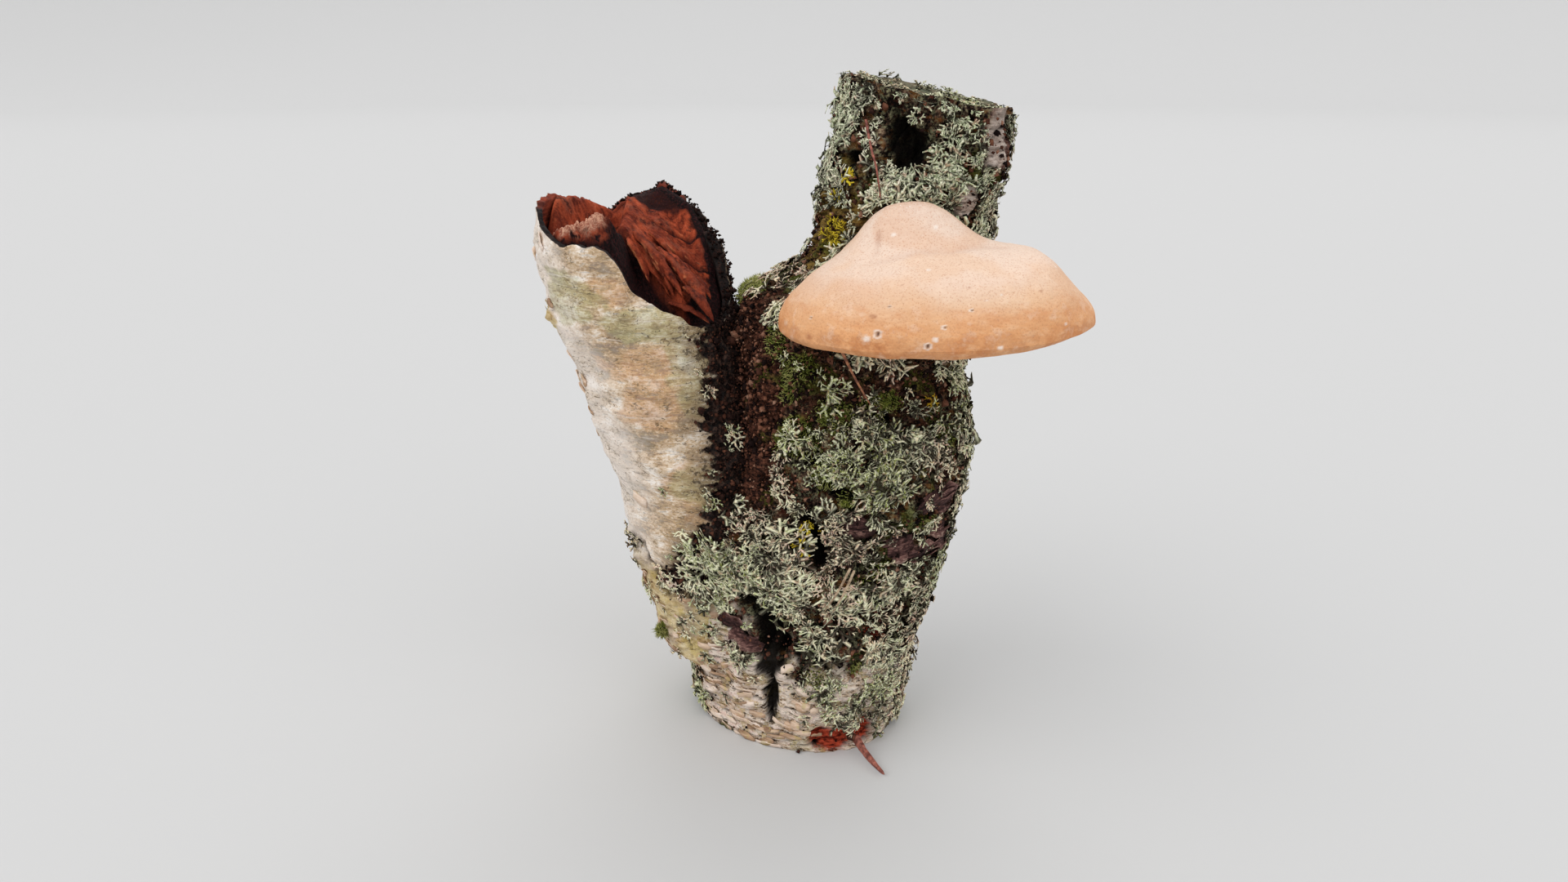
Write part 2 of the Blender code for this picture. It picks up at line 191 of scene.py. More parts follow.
def crumbs_of(points, size, seed):
    """Crumb pattern of scattered spots: how much farther the second one is, and the nearest one's number."""
    place = points / np.asarray(size, float)
    base = np.floor(place)
    nearest = np.full(place.shape[:-1], 9.0)
    second = nearest.copy()
    owner = np.zeros_like(nearest)
    for step in itertools.product((-1, 0, 1), repeat=3):
        cell = base + np.array(step)
        spot = cell + np.stack([chance(cell, seed + k) for k in range(3)], -1)
        away = np.linalg.norm(place - spot, axis=-1)
        owner = np.where(away < nearest, chance(cell, seed + 3), owner)
        second = np.minimum(second, np.maximum(nearest, away))
        nearest = np.minimum(nearest, away)
    return second - nearest, owner


def blob(points, centre, radii, ragged=0.25):
    """1 inside an ellipsoid and 0 outside it, with a ragged edge."""
    away = np.linalg.norm((points - np.array(centre, float)) / np.array(radii, float), axis=-1)
    return 1 - smooth(away + ragged * noise(points, 9, 5), 0.75, 1.1)


def strongest(points, areas, ragged=0.35):
    """The largest of several blobs, each a middle and half sizes."""
    return np.max([blob(points, centre, radii, ragged) for centre, radii in areas], 0)


def shaken(points, reach, size, seed):
    """The points, moved about by noise, so that a mark worked out from them has a ragged edge."""
    return points + reach * np.stack([noise(points, size, seed + k, 2) for k in range(3)], -1)


def sheets(points, thickness, seed):
    """Overlapping papery sheets: how far up its sheet each point is, 0 to 1, and the sheet's number."""
    place = points[..., 2] / thickness + 1.3 * noise(points, (20, 20, 10), seed, 4)
    whole, side = np.floor(place), np.floor(2 * noise(points, 24, seed + 9, 2))
    return place - whole, chance(np.stack([whole, side, 0 * whole], -1), seed)


def near_line(points, start, end, half_width):
    """1 on a line from start to end, falling off as a bell curve across it."""
    start, run = np.array(start, float), np.subtract(end, start)
    share = np.clip((points - start) @ run / (run @ run), 0, 1)
    away = np.linalg.norm(points - start - share[..., None] * run, axis=-1)
    return np.exp(-((away / half_width) ** 2))


def near_marks(points, marks, scale=1.0):
    """near_line of each mark, which is a start, an end, a half width and perhaps more."""
    return np.array([near_line(points, *mark[:2], mark[2] * scale) for mark in marks])


def between(t, start, start_slope, end, end_slope, span=1.0):
    """Cubic from start to end as t goes from 0 to 1, with a slope per unit of span at each end."""
    return (
        (2 * t**3 - 3 * t**2 + 1) * start + (t**3 - 2 * t**2 + t) * span * start_slope
        + (3 * t**2 - 2 * t**3) * end + (t**3 - t**2) * span * end_slope
    )


def table(sections, heights):
    """Smooth values at any heights from rows that start with their own height."""
    rows = np.array(sections, float)
    level = rows[:, 0]
    slopes = np.gradient(rows[:, 1:], level, axis=0) * 0.8
    heights = np.asarray(heights, float)
    i = np.clip(np.searchsorted(level, heights) - 1, 0, len(level) - 2)
    span = (level[i + 1] - level[i])[..., None]
    t = np.clip((heights - level[i])[..., None] / span, 0, 1)
    values = between(t, rows[i, 1:], slopes[i], rows[i + 1, 1:], slopes[i + 1], span)
    return np.moveaxis(values, -1, 0)


def waves(points, size, seed):
    """Rounded bumps between -1 and 1: a mean of sine waves of one size that run in all directions."""
    count = 9
    draw = np.random.RandomState(seed)
    directions = draw.normal(size=(count, 3))
    directions /= np.linalg.norm(directions, axis=1)[:, None]
    phase = draw.uniform(0, 2 * math.pi, count)
    turns = points @ directions.T * (2 * math.pi / size) + phase
    return np.clip(np.sin(turns).sum(-1) / math.sqrt(count) * 0.9, -1, 1)


def around(columns):
    """Compass angles of the columns of a closed grid."""
    return np.linspace(0, 2 * math.pi, columns, endpoint=False)


def outward(angle):
    """Level unit vectors at compass angles."""
    return np.stack([np.cos(angle), np.sin(angle), np.zeros_like(angle)], -1)


def grid(low, high, rows, columns):
    """Compass angles and heights of a closed grid between two heights."""
    height = np.linspace(low, high, rows)[:, None] * np.ones(columns)
    return np.broadcast_to(around(columns), height.shape), height


def trunk_plain(angle, height):
    """Superellipse section of the trunk at each angle and height: points, outward direction."""
    left, right, front, back, turn = table(TRUNK_SECTIONS, height)
    across, deep = (right - left) / 2, (back - front) / 2
    middle = np.stack([(left + right) / 2, (front + back) / 2], -1)
    turn = np.radians(turn)
    wide = np.sqrt(np.maximum(across**2 - (deep * np.sin(turn)) ** 2, 1)) / np.cos(turn)
    deep = np.sqrt(np.maximum(deep**2 - (wide * np.sin(turn)) ** 2, 1)) / np.cos(turn)
    c, s = np.cos(angle - turn), np.sin(angle - turn)
    radius = np.abs(c / wide) ** SECTION_POWER + np.abs(s / deep) ** SECTION_POWER
    radius = radius ** (-1 / SECTION_POWER)
    out = np.stack([np.cos(angle), np.sin(angle)], -1)
    share = np.clip((height - TRUNK_TOP) / (STEM_TOP - TRUNK_TOP), 0, 1)
    level = height + (out * radius[..., None]) @ np.array(STEM_CUT_SLOPE) * share
    points = np.concatenate([middle + out * radius[..., None], level[..., None]], -1)
    return points, np.concatenate([out, np.zeros_like(level)[..., None]], -1)


def trunk_relief(points):
    """The solid's own lumps, fissures and plates."""
    height = 1.5 * waves(points * (1, 1, 0.8), 34, 3) + 1.0 * waves(points, 17, 7)
    for start, end, half_width, rise in BARK_MARKS:
        height = height + rise * near_line(points, start, end, half_width)
    return height * np.clip(points[..., 2] / 12, 0.25, 1)


def rim_height(angle):
    """Height of the limb's broken edge at each compass angle, in straight runs between its rows."""
    turned = np.degrees(np.mod(angle, 2 * math.pi))
    return np.interp(turned.ravel(), *np.transpose(RIM), period=360).reshape(angle.shape)


def limb_point(angle, height, shrink=0.0):
    """Round section of the limb: its middle plus the radius outwards, less shrink."""
    x, y, radius = table(LIMB_SECTIONS, height)
    radius = radius - shrink
    return np.stack([x + np.cos(angle) * radius, y + np.sin(angle) * radius, height], -1)


def limb_relief(points):
    """The solid's own gentle swellings."""
    return 0.9 * waves(points * (1, 1, 1.6), 48, 11) + 0.5 * waves(points * (1, 1, 2.5), 22, 12)


def limb_wall(angle, height):
    """Thickness of the limb's wall: thick beside the fork, papery on the outer side."""
    beside_fork = (0.5 + 0.5 * np.cos(angle - FORK_SIDE)) ** 1.5
    wall = WALL_THIN + (WALL_THICK - WALL_THIN) * beside_fork
    return wall + 0.25 * np.clip(POCKET_LIP - height, 0, None) * beside_fork


# --- meshes ---

def facing(points):
    """Unit normals of a closed grid of points, and the steps across and along it."""
    across = np.roll(points, -1, 1) - np.roll(points, 1, 1)
    along = np.gradient(points, axis=0)
    normal = np.cross(across, along)
    return normal / np.linalg.norm(normal, axis=-1)[..., None], across, along


def quads_of(rows, columns):
    """Corner numbers of the faces of a grid of points that closes on itself across its columns."""
    row, column = np.meshgrid(np.arange(rows - 1), np.arange(columns), indexing="ij")
    near, far = row * columns + column, row * columns + (column + 1) % columns
    return np.stack([near, far, far + columns, near + columns], -1).reshape(-1, 4)


def mesh_of(name, points, quads, triangles, **values):
    """A smooth mesh from arrays in millimetres, with one float attribute for each named value."""
    mesh = bpy.data.meshes.new(name)
    loops = np.concatenate([quads.ravel(), triangles.ravel()]).astype(np.int32)
    sizes = np.concatenate([np.full(len(quads), 4), np.full(len(triangles), 3)])
    mesh.vertices.add(len(points))
    mesh.vertices.foreach_set("co", (points * MM).astype(np.float32).ravel())
    mesh.loops.add(len(loops))
    mesh.loops.foreach_set("vertex_index", loops)
    mesh.polygons.add(len(sizes))
    starts = np.concatenate([[0], np.cumsum(sizes)[:-1]]).astype(np.int32)
    mesh.polygons.foreach_set("loop_start", starts)
    mesh.update(calc_edges=True)
    mesh.shade_smooth()
    for label, value in values.items():
        layer = mesh.attributes.new(label, "FLOAT", "POINT")
        layer.data.foreach_set("value", np.asarray(value, np.float32).ravel())
    return mesh


def closed_skin(name, rings, **values):
    """A closed surface through a stack of rings, with a fan of triangles at each end."""
    rows, columns = rings.shape[:2]
    ends = np.stack([rings[0].mean(0), rings[-1].mean(0)])
    points = np.concatenate([rings.reshape(-1, 3), ends])
    i = np.arange(columns)
    j = (i + 1) % columns
    first = rows * columns
    last_row = (rows - 1) * columns
    low = np.stack([j, i, np.full(columns, first)], -1)
    high = np.stack([last_row + i, last_row + j, np.full(columns, first + 1)], -1)
    extended = {
        label: np.concatenate([value.ravel(), [value[0].mean(), value[-1].mean()]])
        for label, value in values.items()
    }
    quads = quads_of(rows, columns)
    return mesh_of(name, points, quads, np.concatenate([low, high]), **extended)


def put(name, data):
    """A new object of the scene that holds a mesh, a light or a camera."""
    made = bpy.data.objects.new(name, data)
    bpy.context.scene.collection.objects.link(made)
    return made


def dress(mesh, material, replaced=()):
    """Puts a finished mesh in the scene as a piece that rides on the one body."""
    piece = put(mesh.name, mesh)
    mesh.materials.append(material)
    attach(piece, BODY)
    if replaced:
        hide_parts(*replaced)


# --- shaders ---

class Term:
    """A shader output on which Python's arithmetic adds Math nodes."""

    def __init__(self, shader, socket):
        self.shader = shader
        self.socket = socket

    def _math(self, operation, first, second=0.0, clamp=False):
        settings = {"operation": operation, "use_clamp": clamp}
        return self.shader.node("ShaderNodeMath", settings, {0: first, 1: second})

    def __add__(self, other):
        return self._math("ADD", self, other)

    def __radd__(self, other):
        return self._math("ADD", other, self)

    def __sub__(self, other):
        return self._math("SUBTRACT", self, other)

    def __rsub__(self, other):
        return self._math("SUBTRACT", other, self)

    def __mul__(self, other):
        return self._math("MULTIPLY", self, other)

    def __rmul__(self, other):
        return self._math("MULTIPLY", other, self)

    def clipped(self):
        """The value held between 0 and 1."""
        return self._math("ADD", self, 0.0, clamp=True)

    def above(self, low, high):
        """0 below low, 1 above high, with a soft step between them."""
        settings = {"interpolation_type": "SMOOTHSTEP"}
        inputs = {"Value": self, "From Min": low, "From Max": high}
        return self.shader.node("ShaderNodeMapRange", settings, inputs)


class Shader:
    """A material with one Principled BSDF, and short methods for the nodes that feed it."""

    def __init__(self, name, roughness=0.8, **numbers):
        self.material = bpy.data.materials.new(name)
        self.material.use_nodes = True
        self.tree = self.material.node_tree
        self.surface = self.tree.nodes["Principled BSDF"]
        self.surface.inputs["Roughness"].default_value = roughness
        for label, value in numbers.items():
            self.surface.inputs[label.replace("_", " ")].default_value = value
        self.place = self.node("ShaderNodeTexCoord", {}, {}, output="Object")

    def node(self, kind, settings, inputs, output=0):
        """Adds a node, sets its settings, then fills its inputs with values or links."""
        made = self.tree.nodes.new(kind)
        for label, value in settings.items():
            if label == "stops":
                for place, colour in value[1:-1]:
                    made.color_ramp.elements.new(place).color = self.colour(colour)
                for end in (0, -1):
                    made.color_ramp.elements[end].position = value[end][0]
                    made.color_ramp.elements[end].color = self.colour(value[end][1])
            else:
                setattr(made, label, value)
        for label, value in inputs.items():
            if isinstance(value, Term):
                self.tree.links.new(value.socket, made.inputs[label])
            else:
                made.inputs[label].default_value = value
        return Term(self, made.outputs[output])

    def value(self, attribute):
        """A float attribute of the mesh."""
        return self.node("ShaderNodeAttribute", {"attribute_name": attribute}, {}, output="Fac")

    def stretched(self, scale, turn=(0, 0, 0)):
        """Object coordinates, turned and scaled."""
        return self.node("ShaderNodeMapping", {}, {"Vector": self.place, "Rotation": turn, "Scale": scale})

    def noise(self, size_mm, detail=4.0, rough=0.55, vector=None, distortion=0.0):
        """Noise from 0 to 1 with features of about size_mm."""
        inputs = {
            "Vector": vector or self.place, "Scale": 1 / (size_mm * MM), "Detail": detail,
            "Roughness": rough, "Distortion": distortion,
        }
        return self.node("ShaderNodeTexNoise", {}, inputs, output="Fac")

    def cells(self, size_mm):
        """Distance to the nearest of scattered spots about size_mm apart."""
        inputs = {"Vector": self.place, "Scale": 1 / (size_mm * MM)}
        return self.node("ShaderNodeTexVoronoi", {}, inputs, output="Distance")

    def mix(self, factor, first, second):
        """Mixes two colours; each may be a colour in sRGB bytes or a link."""
        settings = {"data_type": "RGBA", "clamp_factor": True}
        inputs = {0: factor, 6: self.colour(first), 7: self.colour(second)}
        return self.node("ShaderNodeMix", settings, inputs, output=2)

    def layered(self, colour, *layers):
        """A colour with others laid over it in turn, each where its own mask is 1."""
        for mask, over in layers:
            colour = self.mix(mask, colour, over)
        return colour

    def ramp(self, factor, stops):
        """A colour that runs through stops of (place, sRGB bytes)."""
        return self.node("ShaderNodeValToRGB", {"stops": stops}, {0: factor})

    @staticmethod
    def colour(value):
        """sRGB bytes as linear light; links pass through."""
        if isinstance(value, Term):
            return value
        share = np.array(value, float) / 255
        linear = np.where(share <= 0.04045, share / 12.92, ((share + 0.055) / 1.055) ** 2.4)
        return (*linear, 1.0)

    def finish(self, colour, bump=None, bump_mm=1.0):
        """Links the colour, and a bump of some height in millimetres, to the surface."""
        self.tree.links.new(colour.socket, self.surface.inputs["Base Color"])
        if bump is not None:
            inputs = {"Height": bump, "Distance": bump_mm * MM, "Strength": 1.0}
            normal = self.node("ShaderNodeBump", {}, inputs, output="Normal")
            self.tree.links.new(normal.socket, self.surface.inputs["Normal"])
        return self.material


# Where several operators use a material, it is made once and then kept.
@functools.cache
def bark_material():
    """Rough bark: painted shade, nearly black, in its cracks and holes, brown on its ridges, cream and tan
    where it is papery.
    """
    s = Shader("rough_bark", roughness=0.95, Specular_IOR_Level=0.08)
    fine = s.noise(1.3, 5, 0.65)
    broad = s.noise(11, 3)
    grain = s.noise(3.5, 4, vector=s.stretched((1, 1, 3.2)))
    layer = s.noise(6, 6, 0.72, vector=s.stretched((1, 1, 4.2), (0, math.radians(10), 0)), distortion=0.6)
    rusty = s.noise(7, 3, 0.6, vector=s.stretched((1, 1, 1.6)))
    film = s.noise(4.5, 4).above(0.44, 0.56) * fine.above(0.42, 0.58)
    # The ridge mask is nearly black in the bark's cracks: painted shade there, over the bark's own tone.
    tone = s.value("ridge") * 0.5 + (fine - 0.5) * 2.2 + (broad - 0.5) * 0.9 + (grain - 0.5) * 1.0
    ridges = s.ramp((tone + 0.1).clipped(), (
        (0.0, (14, 10, 8)), (0.3, (58, 44, 36)), (0.55, (110, 88, 70)), (0.8, (152, 130, 106)),
        (1.0, (196, 174, 144)),
    ))
    sheet_colours = s.ramp((s.value("sheet") * 0.4 + (layer - 0.5) * 2.2 + 0.34).clipped(), (
        (0.0, (92, 66, 52)), (0.2, (176, 138, 108)), (0.38, (232, 206, 178)), (0.62, (255, 240, 226)),
        (1.0, (246, 208, 194)),
    ))
    paper = s.layered(
        sheet_colours,
        (s.noise(9, 4).above(0.52, 0.6) * 0.6, (206, 178, 104)),
        (s.noise(13, 4).above(0.55, 0.63) * 0.45, (210, 200, 152)),
        ((1 - layer).above(0.55, 0.61) * 0.9, (52, 36, 28)),
        ((1 - fine).above(0.57, 0.65) * 0.45, (120, 88, 68)),
        (fine.above(0.53, 0.62) * 0.75, (255, 243, 228)),
    )
    ochre = s.mix(grain.above(0.36, 0.62), (52, 36, 20), (150, 122, 62))
    rotten = s.mix((fine * 1.1 + (grain - 0.5) * 1.2).above(0.3, 0.8), (20, 11, 10), (112, 70, 54))
    bare = s.mix((layer * 0.8 + fine * 0.4).above(0.4, 0.75), (142, 120, 108), (236, 220, 208))
    plate = s.mix((grain * 0.6 + fine * 0.6).above(0.42, 0.78), (40, 26, 25), (156, 118, 108))
    green = s.mix(fine.above(0.35, 0.7), (40, 44, 14), (124, 132, 52))
    red = s.mix(grain.above(0.36, 0.64), (78, 20, 12), (206, 84, 58))
    sawn = s.layered(
        s.mix(s.value("growth"), (84, 76, 60), (140, 130, 106)),
        ((s.noise(14, 4) - 0.1 + fine * 0.2).above(0.46, 0.6) * 0.7, (104, 112, 92)),
        (s.noise(2.2, 4).above(0.54, 0.66) * 0.7, (66, 52, 42)),
    )
    colour = s.layered(
        ridges,
        (s.noise(6, 3).above(0.53, 0.66) * grain.above(0.3, 0.6) * 0.7, (104, 52, 36)),
        (s.noise(9, 3).above(0.53, 0.66) * fine.above(0.35, 0.6) * 0.6, (112, 78, 74)),
        (film * 0.75, (150, 150, 116)),
        (rusty.above(0.56, 0.64) * 0.6, (128, 84, 40)),
        ((s.value("ochre") * 1.2 + (fine - 0.5) * 1.2 - 0.15).clipped() * 0.9, ochre),
        (s.value("rotten"), rotten),
        (s.value("papery"), paper),
        (s.value("bare"), bare),
        (s.value("plate"), plate),
        (s.value("green"), green),
        (s.value("redwood"), red),
        (s.value("sawn"), sawn),
        (s.value("shade"), (7, 5, 4)),
    )
    return s.finish(colour, bump=fine * 0.6 + grain * 0.7 + layer * 0.5, bump_mm=1.6)


def birch_material():
    """Birch bark: cream, tan and orange-brown blotches, few pale curved streaks, dark specks and scars, and a
    painted highlight that makes its left side whiter.
    """
    s = Shader("birch_bark", roughness=0.75, Specular_IOR_Level=0.2)
    lean = (0, math.radians(-9), 0)
    mottle = s.noise(15, 6, 0.66, vector=s.stretched((1, 1, 1.7), lean))
    blotch = s.noise(10, 4, 0.6)
    streak = s.noise(22, 5, 0.64, vector=s.stretched((1, 1, 9), lean), distortion=0.3)
    wisp = s.noise(8, 6, 0.74, vector=s.stretched((1, 1, 4.5), (0, math.radians(-15), 0)), distortion=0.7)
    fine = s.noise(1.5, 4, 0.7, vector=s.stretched((1, 1, 1.6), lean))
    speck = s.noise(2.4, 4, 0.75)
    curl = s.noise(9, 4, 0.6, vector=s.stretched((1, 1, 2.6), lean), distortion=0.8) - 0.5
    hairs = (1 - (curl * curl * 2200).above(0.1, 1.0)) * blotch.above(0.5, 0.6)
    fringe, crusty, green, yellow = (s.value(label) for label in ("fringe", "crust", "green", "yellow"))
    blotches = s.ramp(
        ((mottle - 0.5) * 1.5 + (wisp - 0.5) * 0.9 + (fine - 0.5) * 0.4 + 0.5).clipped(),
        ((0.3, (255, 246, 236)), (0.42, (234, 214, 190)), (0.55, (202, 170, 132)), (0.7, (128, 100, 74))),
    )
    warm_where = s.value("orange") + (blotch - 0.5) * 2.2 + (wisp - 0.5) * 0.6
    warm = s.mix(wisp.above(0.4, 0.62), (232, 184, 134), (176, 122, 78))
    white_and_highlight_where = s.value("white") + (mottle - 0.5) * 1.6 + (wisp - 0.5) * 1.2
    greenish = s.mix(wisp.above(0.4, 0.6), (204, 202, 152), (150, 142, 100))
    yellowish = s.layered(
        s.ramp(
            (s.value("sheet") * 0.45 + (wisp - 0.5) * 1.4 + 0.3).clipped(),
            ((0.0, (116, 90, 60)), (0.3, (178, 146, 98)), (0.6, (214, 192, 146)), (1.0, (232, 218, 186))),
        ),
        (blotch.above(0.5, 0.62) * 0.5, (198, 176, 92)),
        ((1 - wisp).above(0.56, 0.66) * 0.8, (76, 56, 42)),
        (s.noise(14, 3).above(0.52, 0.64) * 0.5, (188, 170, 158)),
    )
    specks = speck + (fringe * 0.1 + crusty * 0.16 + green * 0.04 + yellow * 0.04) - 0.66
    crust = s.mix(s.noise(2.2, 5, 0.7).above(0.42, 0.7), (15, 10, 9), (88, 64, 54))
    lining = s.mix(streak.above(0.35, 0.65), (84, 30, 20), (158, 70, 46))
    torn = s.mix(s.value("orange"), s.mix(speck.above(0.45, 0.7), (12, 8, 8), (58, 36, 30)), lining)
    colour = s.layered(
        blotches,
        (warm_where.clipped() * 0.66, warm),
        # Painted highlight: the limb's left side is whiter, over the bark's own pale colour.
        (white_and_highlight_where.clipped() * 0.75, (244, 235, 228)),
        ((green + (mottle - 0.5) * 1.5).clipped() * 0.6, greenish),
        ((fringe + (blotch - 0.5) * 1.4).clipped() * 0.66, (132, 112, 86)),
        (streak.above(0.58, 0.68) * 0.4, (250, 242, 232)),
        (hairs * 0.7 + (1 - wisp).above(0.56, 0.62) * (fringe * 0.7 + 0.42), (70, 52, 40)),
        ((yellow * 1.3 + (blotch - 0.5) * 0.9).clipped(), yellowish),
        (fine.above(0.54, 0.66) * 0.35, (124, 100, 78)),
        ((1 - fine).above(0.56, 0.68) * 0.35, (242, 234, 222)),
        (specks.above(0, 0.05) * 0.8, (72, 60, 48)),
        ((crusty * 1.6 + (speck - 0.5) * 1.2 - 0.4).clipped(), crust),
        (s.value("torn"), torn),
        (s.value("shade"), (22, 15, 12)),
    )
    return s.finish(colour, bump=streak * 0.25 + fine * 0.3 + wisp * 0.3, bump_mm=0.6)


def rotted_material():
    """Red-brown rotted wood: streaks along its grain, painted highlights on its broken edges and the lump's
    top, and painted shade, nearly black, in its cracks and hollows.
    """
    s = Shader("rotted_wood", roughness=0.75, Specular_IOR_Level=0.12)
    grain = s.noise(4, 6, 0.68, vector=s.stretched((1, 1, 0.22), (0, math.radians(38), 0)))
    fine = s.noise(1.0, 4, 0.65)
    pink = s.mix(fine.above(0.35, 0.65), (150, 82, 64), (234, 182, 152))
    damp = s.mix(fine.above(0.42, 0.7), (14, 7, 8), (62, 26, 26))
    colour = s.layered(
        s.mix(grain.above(0.34, 0.64), (82, 26, 16), (186, 82, 50)),
        (s.noise(12, 4).above(0.42, 0.62) * 0.5, (112, 40, 25)),
        (s.noise(8, 2).above(0.55, 0.66) * 0.4, (158, 90, 68)),
        ((1 - s.noise(7, 5, 0.65)).above(0.57, 0.66) * 0.8, (40, 14, 12)),
        (fine.above(0.55, 0.7) * 0.45, (200, 106, 68)),
        # Painted highlight: orange on the lit ledges behind the cracks and on the splinters' side edges, and
        # on paler wood at random.
        ((s.value("edge") * (0.35 + fine)).above(0.2, 0.75) * 0.85, (226, 138, 92)),
        # Painted highlight: pale pink on the top of the lump.
        ((s.value("pale") * 1.3 + (grain - 0.5) * 1.2 - 0.1).clipped(), pink),
        # Painted shade, nearly black, in the cracks, gap, hollow and holes, and some splinters darker by
        # chance.
        ((s.value("damp") * 1.4 + (fine - 0.6) * 0.8).clipped(), damp),
    )
    return s.finish(colour, bump=grain * 0.9 + fine * 0.5, bump_mm=1.0)


def cap_material():
    """Skin of the bracket: finely stippled peach with faint zones, orange towards its margin."""
    s = Shader("fungus_skin", roughness=0.6, Specular_IOR_Level=0.3)
    stipple, pore = s.cells(1.0), s.cells(0.45)
    speck = s.noise(0.9, 3, 0.7)
    mottle = s.noise(6, 5, 0.62)
    smudge = s.noise(9, 5, 0.66, vector=s.stretched((1, 1, 3)))
    margin, hump, pores = s.value("margin"), s.value("hump"), s.value("pores")
    skin = s.ramp((margin + (mottle - 0.5) * 0.2 * margin).clipped(), (
        (0.0, (244, 219, 200)), (0.42, (239, 208, 185)), (0.72, (237, 198, 164)),
        (0.88, (234, 177, 130)), (0.965, (236, 172, 118)), (1.0, (208, 138, 86)),
    ))
    band = (margin - 0.62).above(0, 0.2)
    underside = s.layered(
        s.mix(pore.above(0.15, 0.5), (150, 118, 88), (228, 206, 174)),
        (mottle.above(0.45, 0.65) * 0.5, (176, 132, 92)),
    )
    colour = s.layered(
        skin,
        (s.value("zone") * (0.1 + mottle * 0.45), (224, 162, 112)),
        (band * smudge.above(0.48, 0.66) * 0.35, (212, 136, 82)),
        (band * (1 - smudge).above(0.5, 0.68) * 0.35, (250, 208, 168)),
        (hump * 0.55 * mottle.above(0.35, 0.6), (224, 186, 164)),
        (s.noise(26, 2).above(0.5, 0.66) * 0.3, (234, 182, 134)),
        (mottle.above(0.52, 0.66) * 0.3, (250, 222, 198)),
        ((1 - stipple).above(0.62, 0.82) * (0.15 + mottle * 0.4), (200, 134, 92)),
        (speck.above(0.56, 0.68) * 0.35, (188, 130, 96)),
        ((hump * 0.2 + speck - 0.78).above(0, 0.06) * 0.9, (253, 245, 236)),
        (s.value("pale"), (252, 240, 230)),
        # Brown spots, and painted shade along the creases and folds.
        (s.value("brown"), (158, 88, 54)),
        (pores, underside),
        # Painted shade in the pits.
        (s.value("dark"), (92, 72, 68)),
    )
    return s.finish(colour, bump=stipple * 0.5 + mottle * 0.35 + pores * pore, bump_mm=0.4)


LICHEN_STOPS = (
    (0.0, (152, 162, 74)), (0.16, (206, 216, 150)), (0.4, (236, 240, 198)),
    (0.66, (252, 244, 206)), (0.86, (252, 226, 180)), (1.0, (250, 208, 186)),
)
STEM_LICHEN_STOPS = (
    (0.0, (154, 168, 128)), (0.3, (206, 218, 176)), (0.6, (240, 238, 208)), (1.0, (254, 238, 220)),
)


def lichen_material(name, stops):
    """Lichen: a colour for each tuft, with painted highlights along its ridges and painted shade at its base,
    on its lobes' edges and on tufts in clumps.
    """
    s = Shader(name, roughness=0.95, Specular_IOR_Level=0.08)
    colour = s.layered(
        s.ramp((s.value("tone") + (s.noise(2.4, 3) - 0.5) * 1.3).clipped(), stops),
        # Painted highlights: fine near-white specks.
        ((s.noise(0.8, 2) - 0.42).above(0, 0.16) * 0.7, (255, 252, 228)),
        (s.noise(3.1, 3).above(0.54, 0.65) * 0.65, (186, 140, 118)),
        # Painted shade where tip is low: at each tuft's base, on its lobes' edges, and on lobes and clumps
        # that are painted as shaded.
        ((1 - s.value("tip")).above(0.14, 0.84) * 0.96, (34, 26, 18)),
    )
    return s.finish(colour)


def gold_material():
    """Golden lichen: yellow to ochre, with painted shade at each tuft's base and on its lobes' edges."""
    s = Shader("golden_lichen", roughness=0.9, Specular_IOR_Level=0.1)
    colour = s.mix((s.value("tone") + s.noise(1.5, 3) - 0.5).clipped(), (172, 136, 28), (226, 204, 60))
    # Painted shade where tip is low.
    return s.finish(s.mix((1 - s.value("tip")).above(0.2, 0.9) * 0.85, colour, (66, 44, 18)))


def moss_material():
    """Moss: bright olive tips over brown stems."""
    s = Shader("moss", roughness=0.9, Specular_IOR_Level=0.1)
    tip = s.value("tip")
    colour = s.layered(
        s.mix(tip, (40, 38, 18), (160, 168, 80)),
        (s.noise(5, 3).above(0.44, 0.6) * tip * 0.8, (214, 206, 138)),
        (s.value("tone").above(0.5, 0.9) * tip * 0.6, (92, 118, 50)),
    )
    return s.finish(colour)


@functools.cache
def strand_material(name, light, dark):
    """A dry strand with streaks along it."""
    s = Shader(name, roughness=0.6)
    streak = s.noise(2.2, 4, 0.65)
    return s.finish(s.mix(streak.above(0.35, 0.65), dark, light), bump=streak, bump_mm=0.15)


@functools.cache
def crumb_material():
    """Crumbs of rotten bark: nearly black, rust brown or pinkish grey by crumb."""
    s = Shader("rotten_crumbs", roughness=0.95, Specular_IOR_Level=0.08)
    return s.finish(s.ramp((s.value("tone") + (s.noise(1.2, 3) - 0.5) * 0.5).clipped(), (
        (0.0, (14, 8, 8)), (0.35, (42, 27, 24)), (0.62, (88, 54, 42)), (0.88, (132, 88, 68)),
        (1.0, (162, 124, 104)),
    )))


def plate_material():
    """Curled plates of old bark: dark purplish brown with a greyer, lighter edge."""
    s = Shader("bark_plates", roughness=0.85, Specular_IOR_Level=0.15)
    grain = s.noise(2.6, 5, 0.65, vector=s.stretched((1, 1, 3)))
    tone = s.value("tip") * 0.6 + s.value("tone") * 0.15 + (grain - 0.42) * 1.7
    stops = ((0.0, (26, 16, 16)), (0.35, (74, 48, 46)), (0.7, (138, 102, 94)), (1.0, (220, 194, 174)))
    return s.finish(s.ramp(tone.clipped(), stops), bump=grain, bump_mm=0.5)


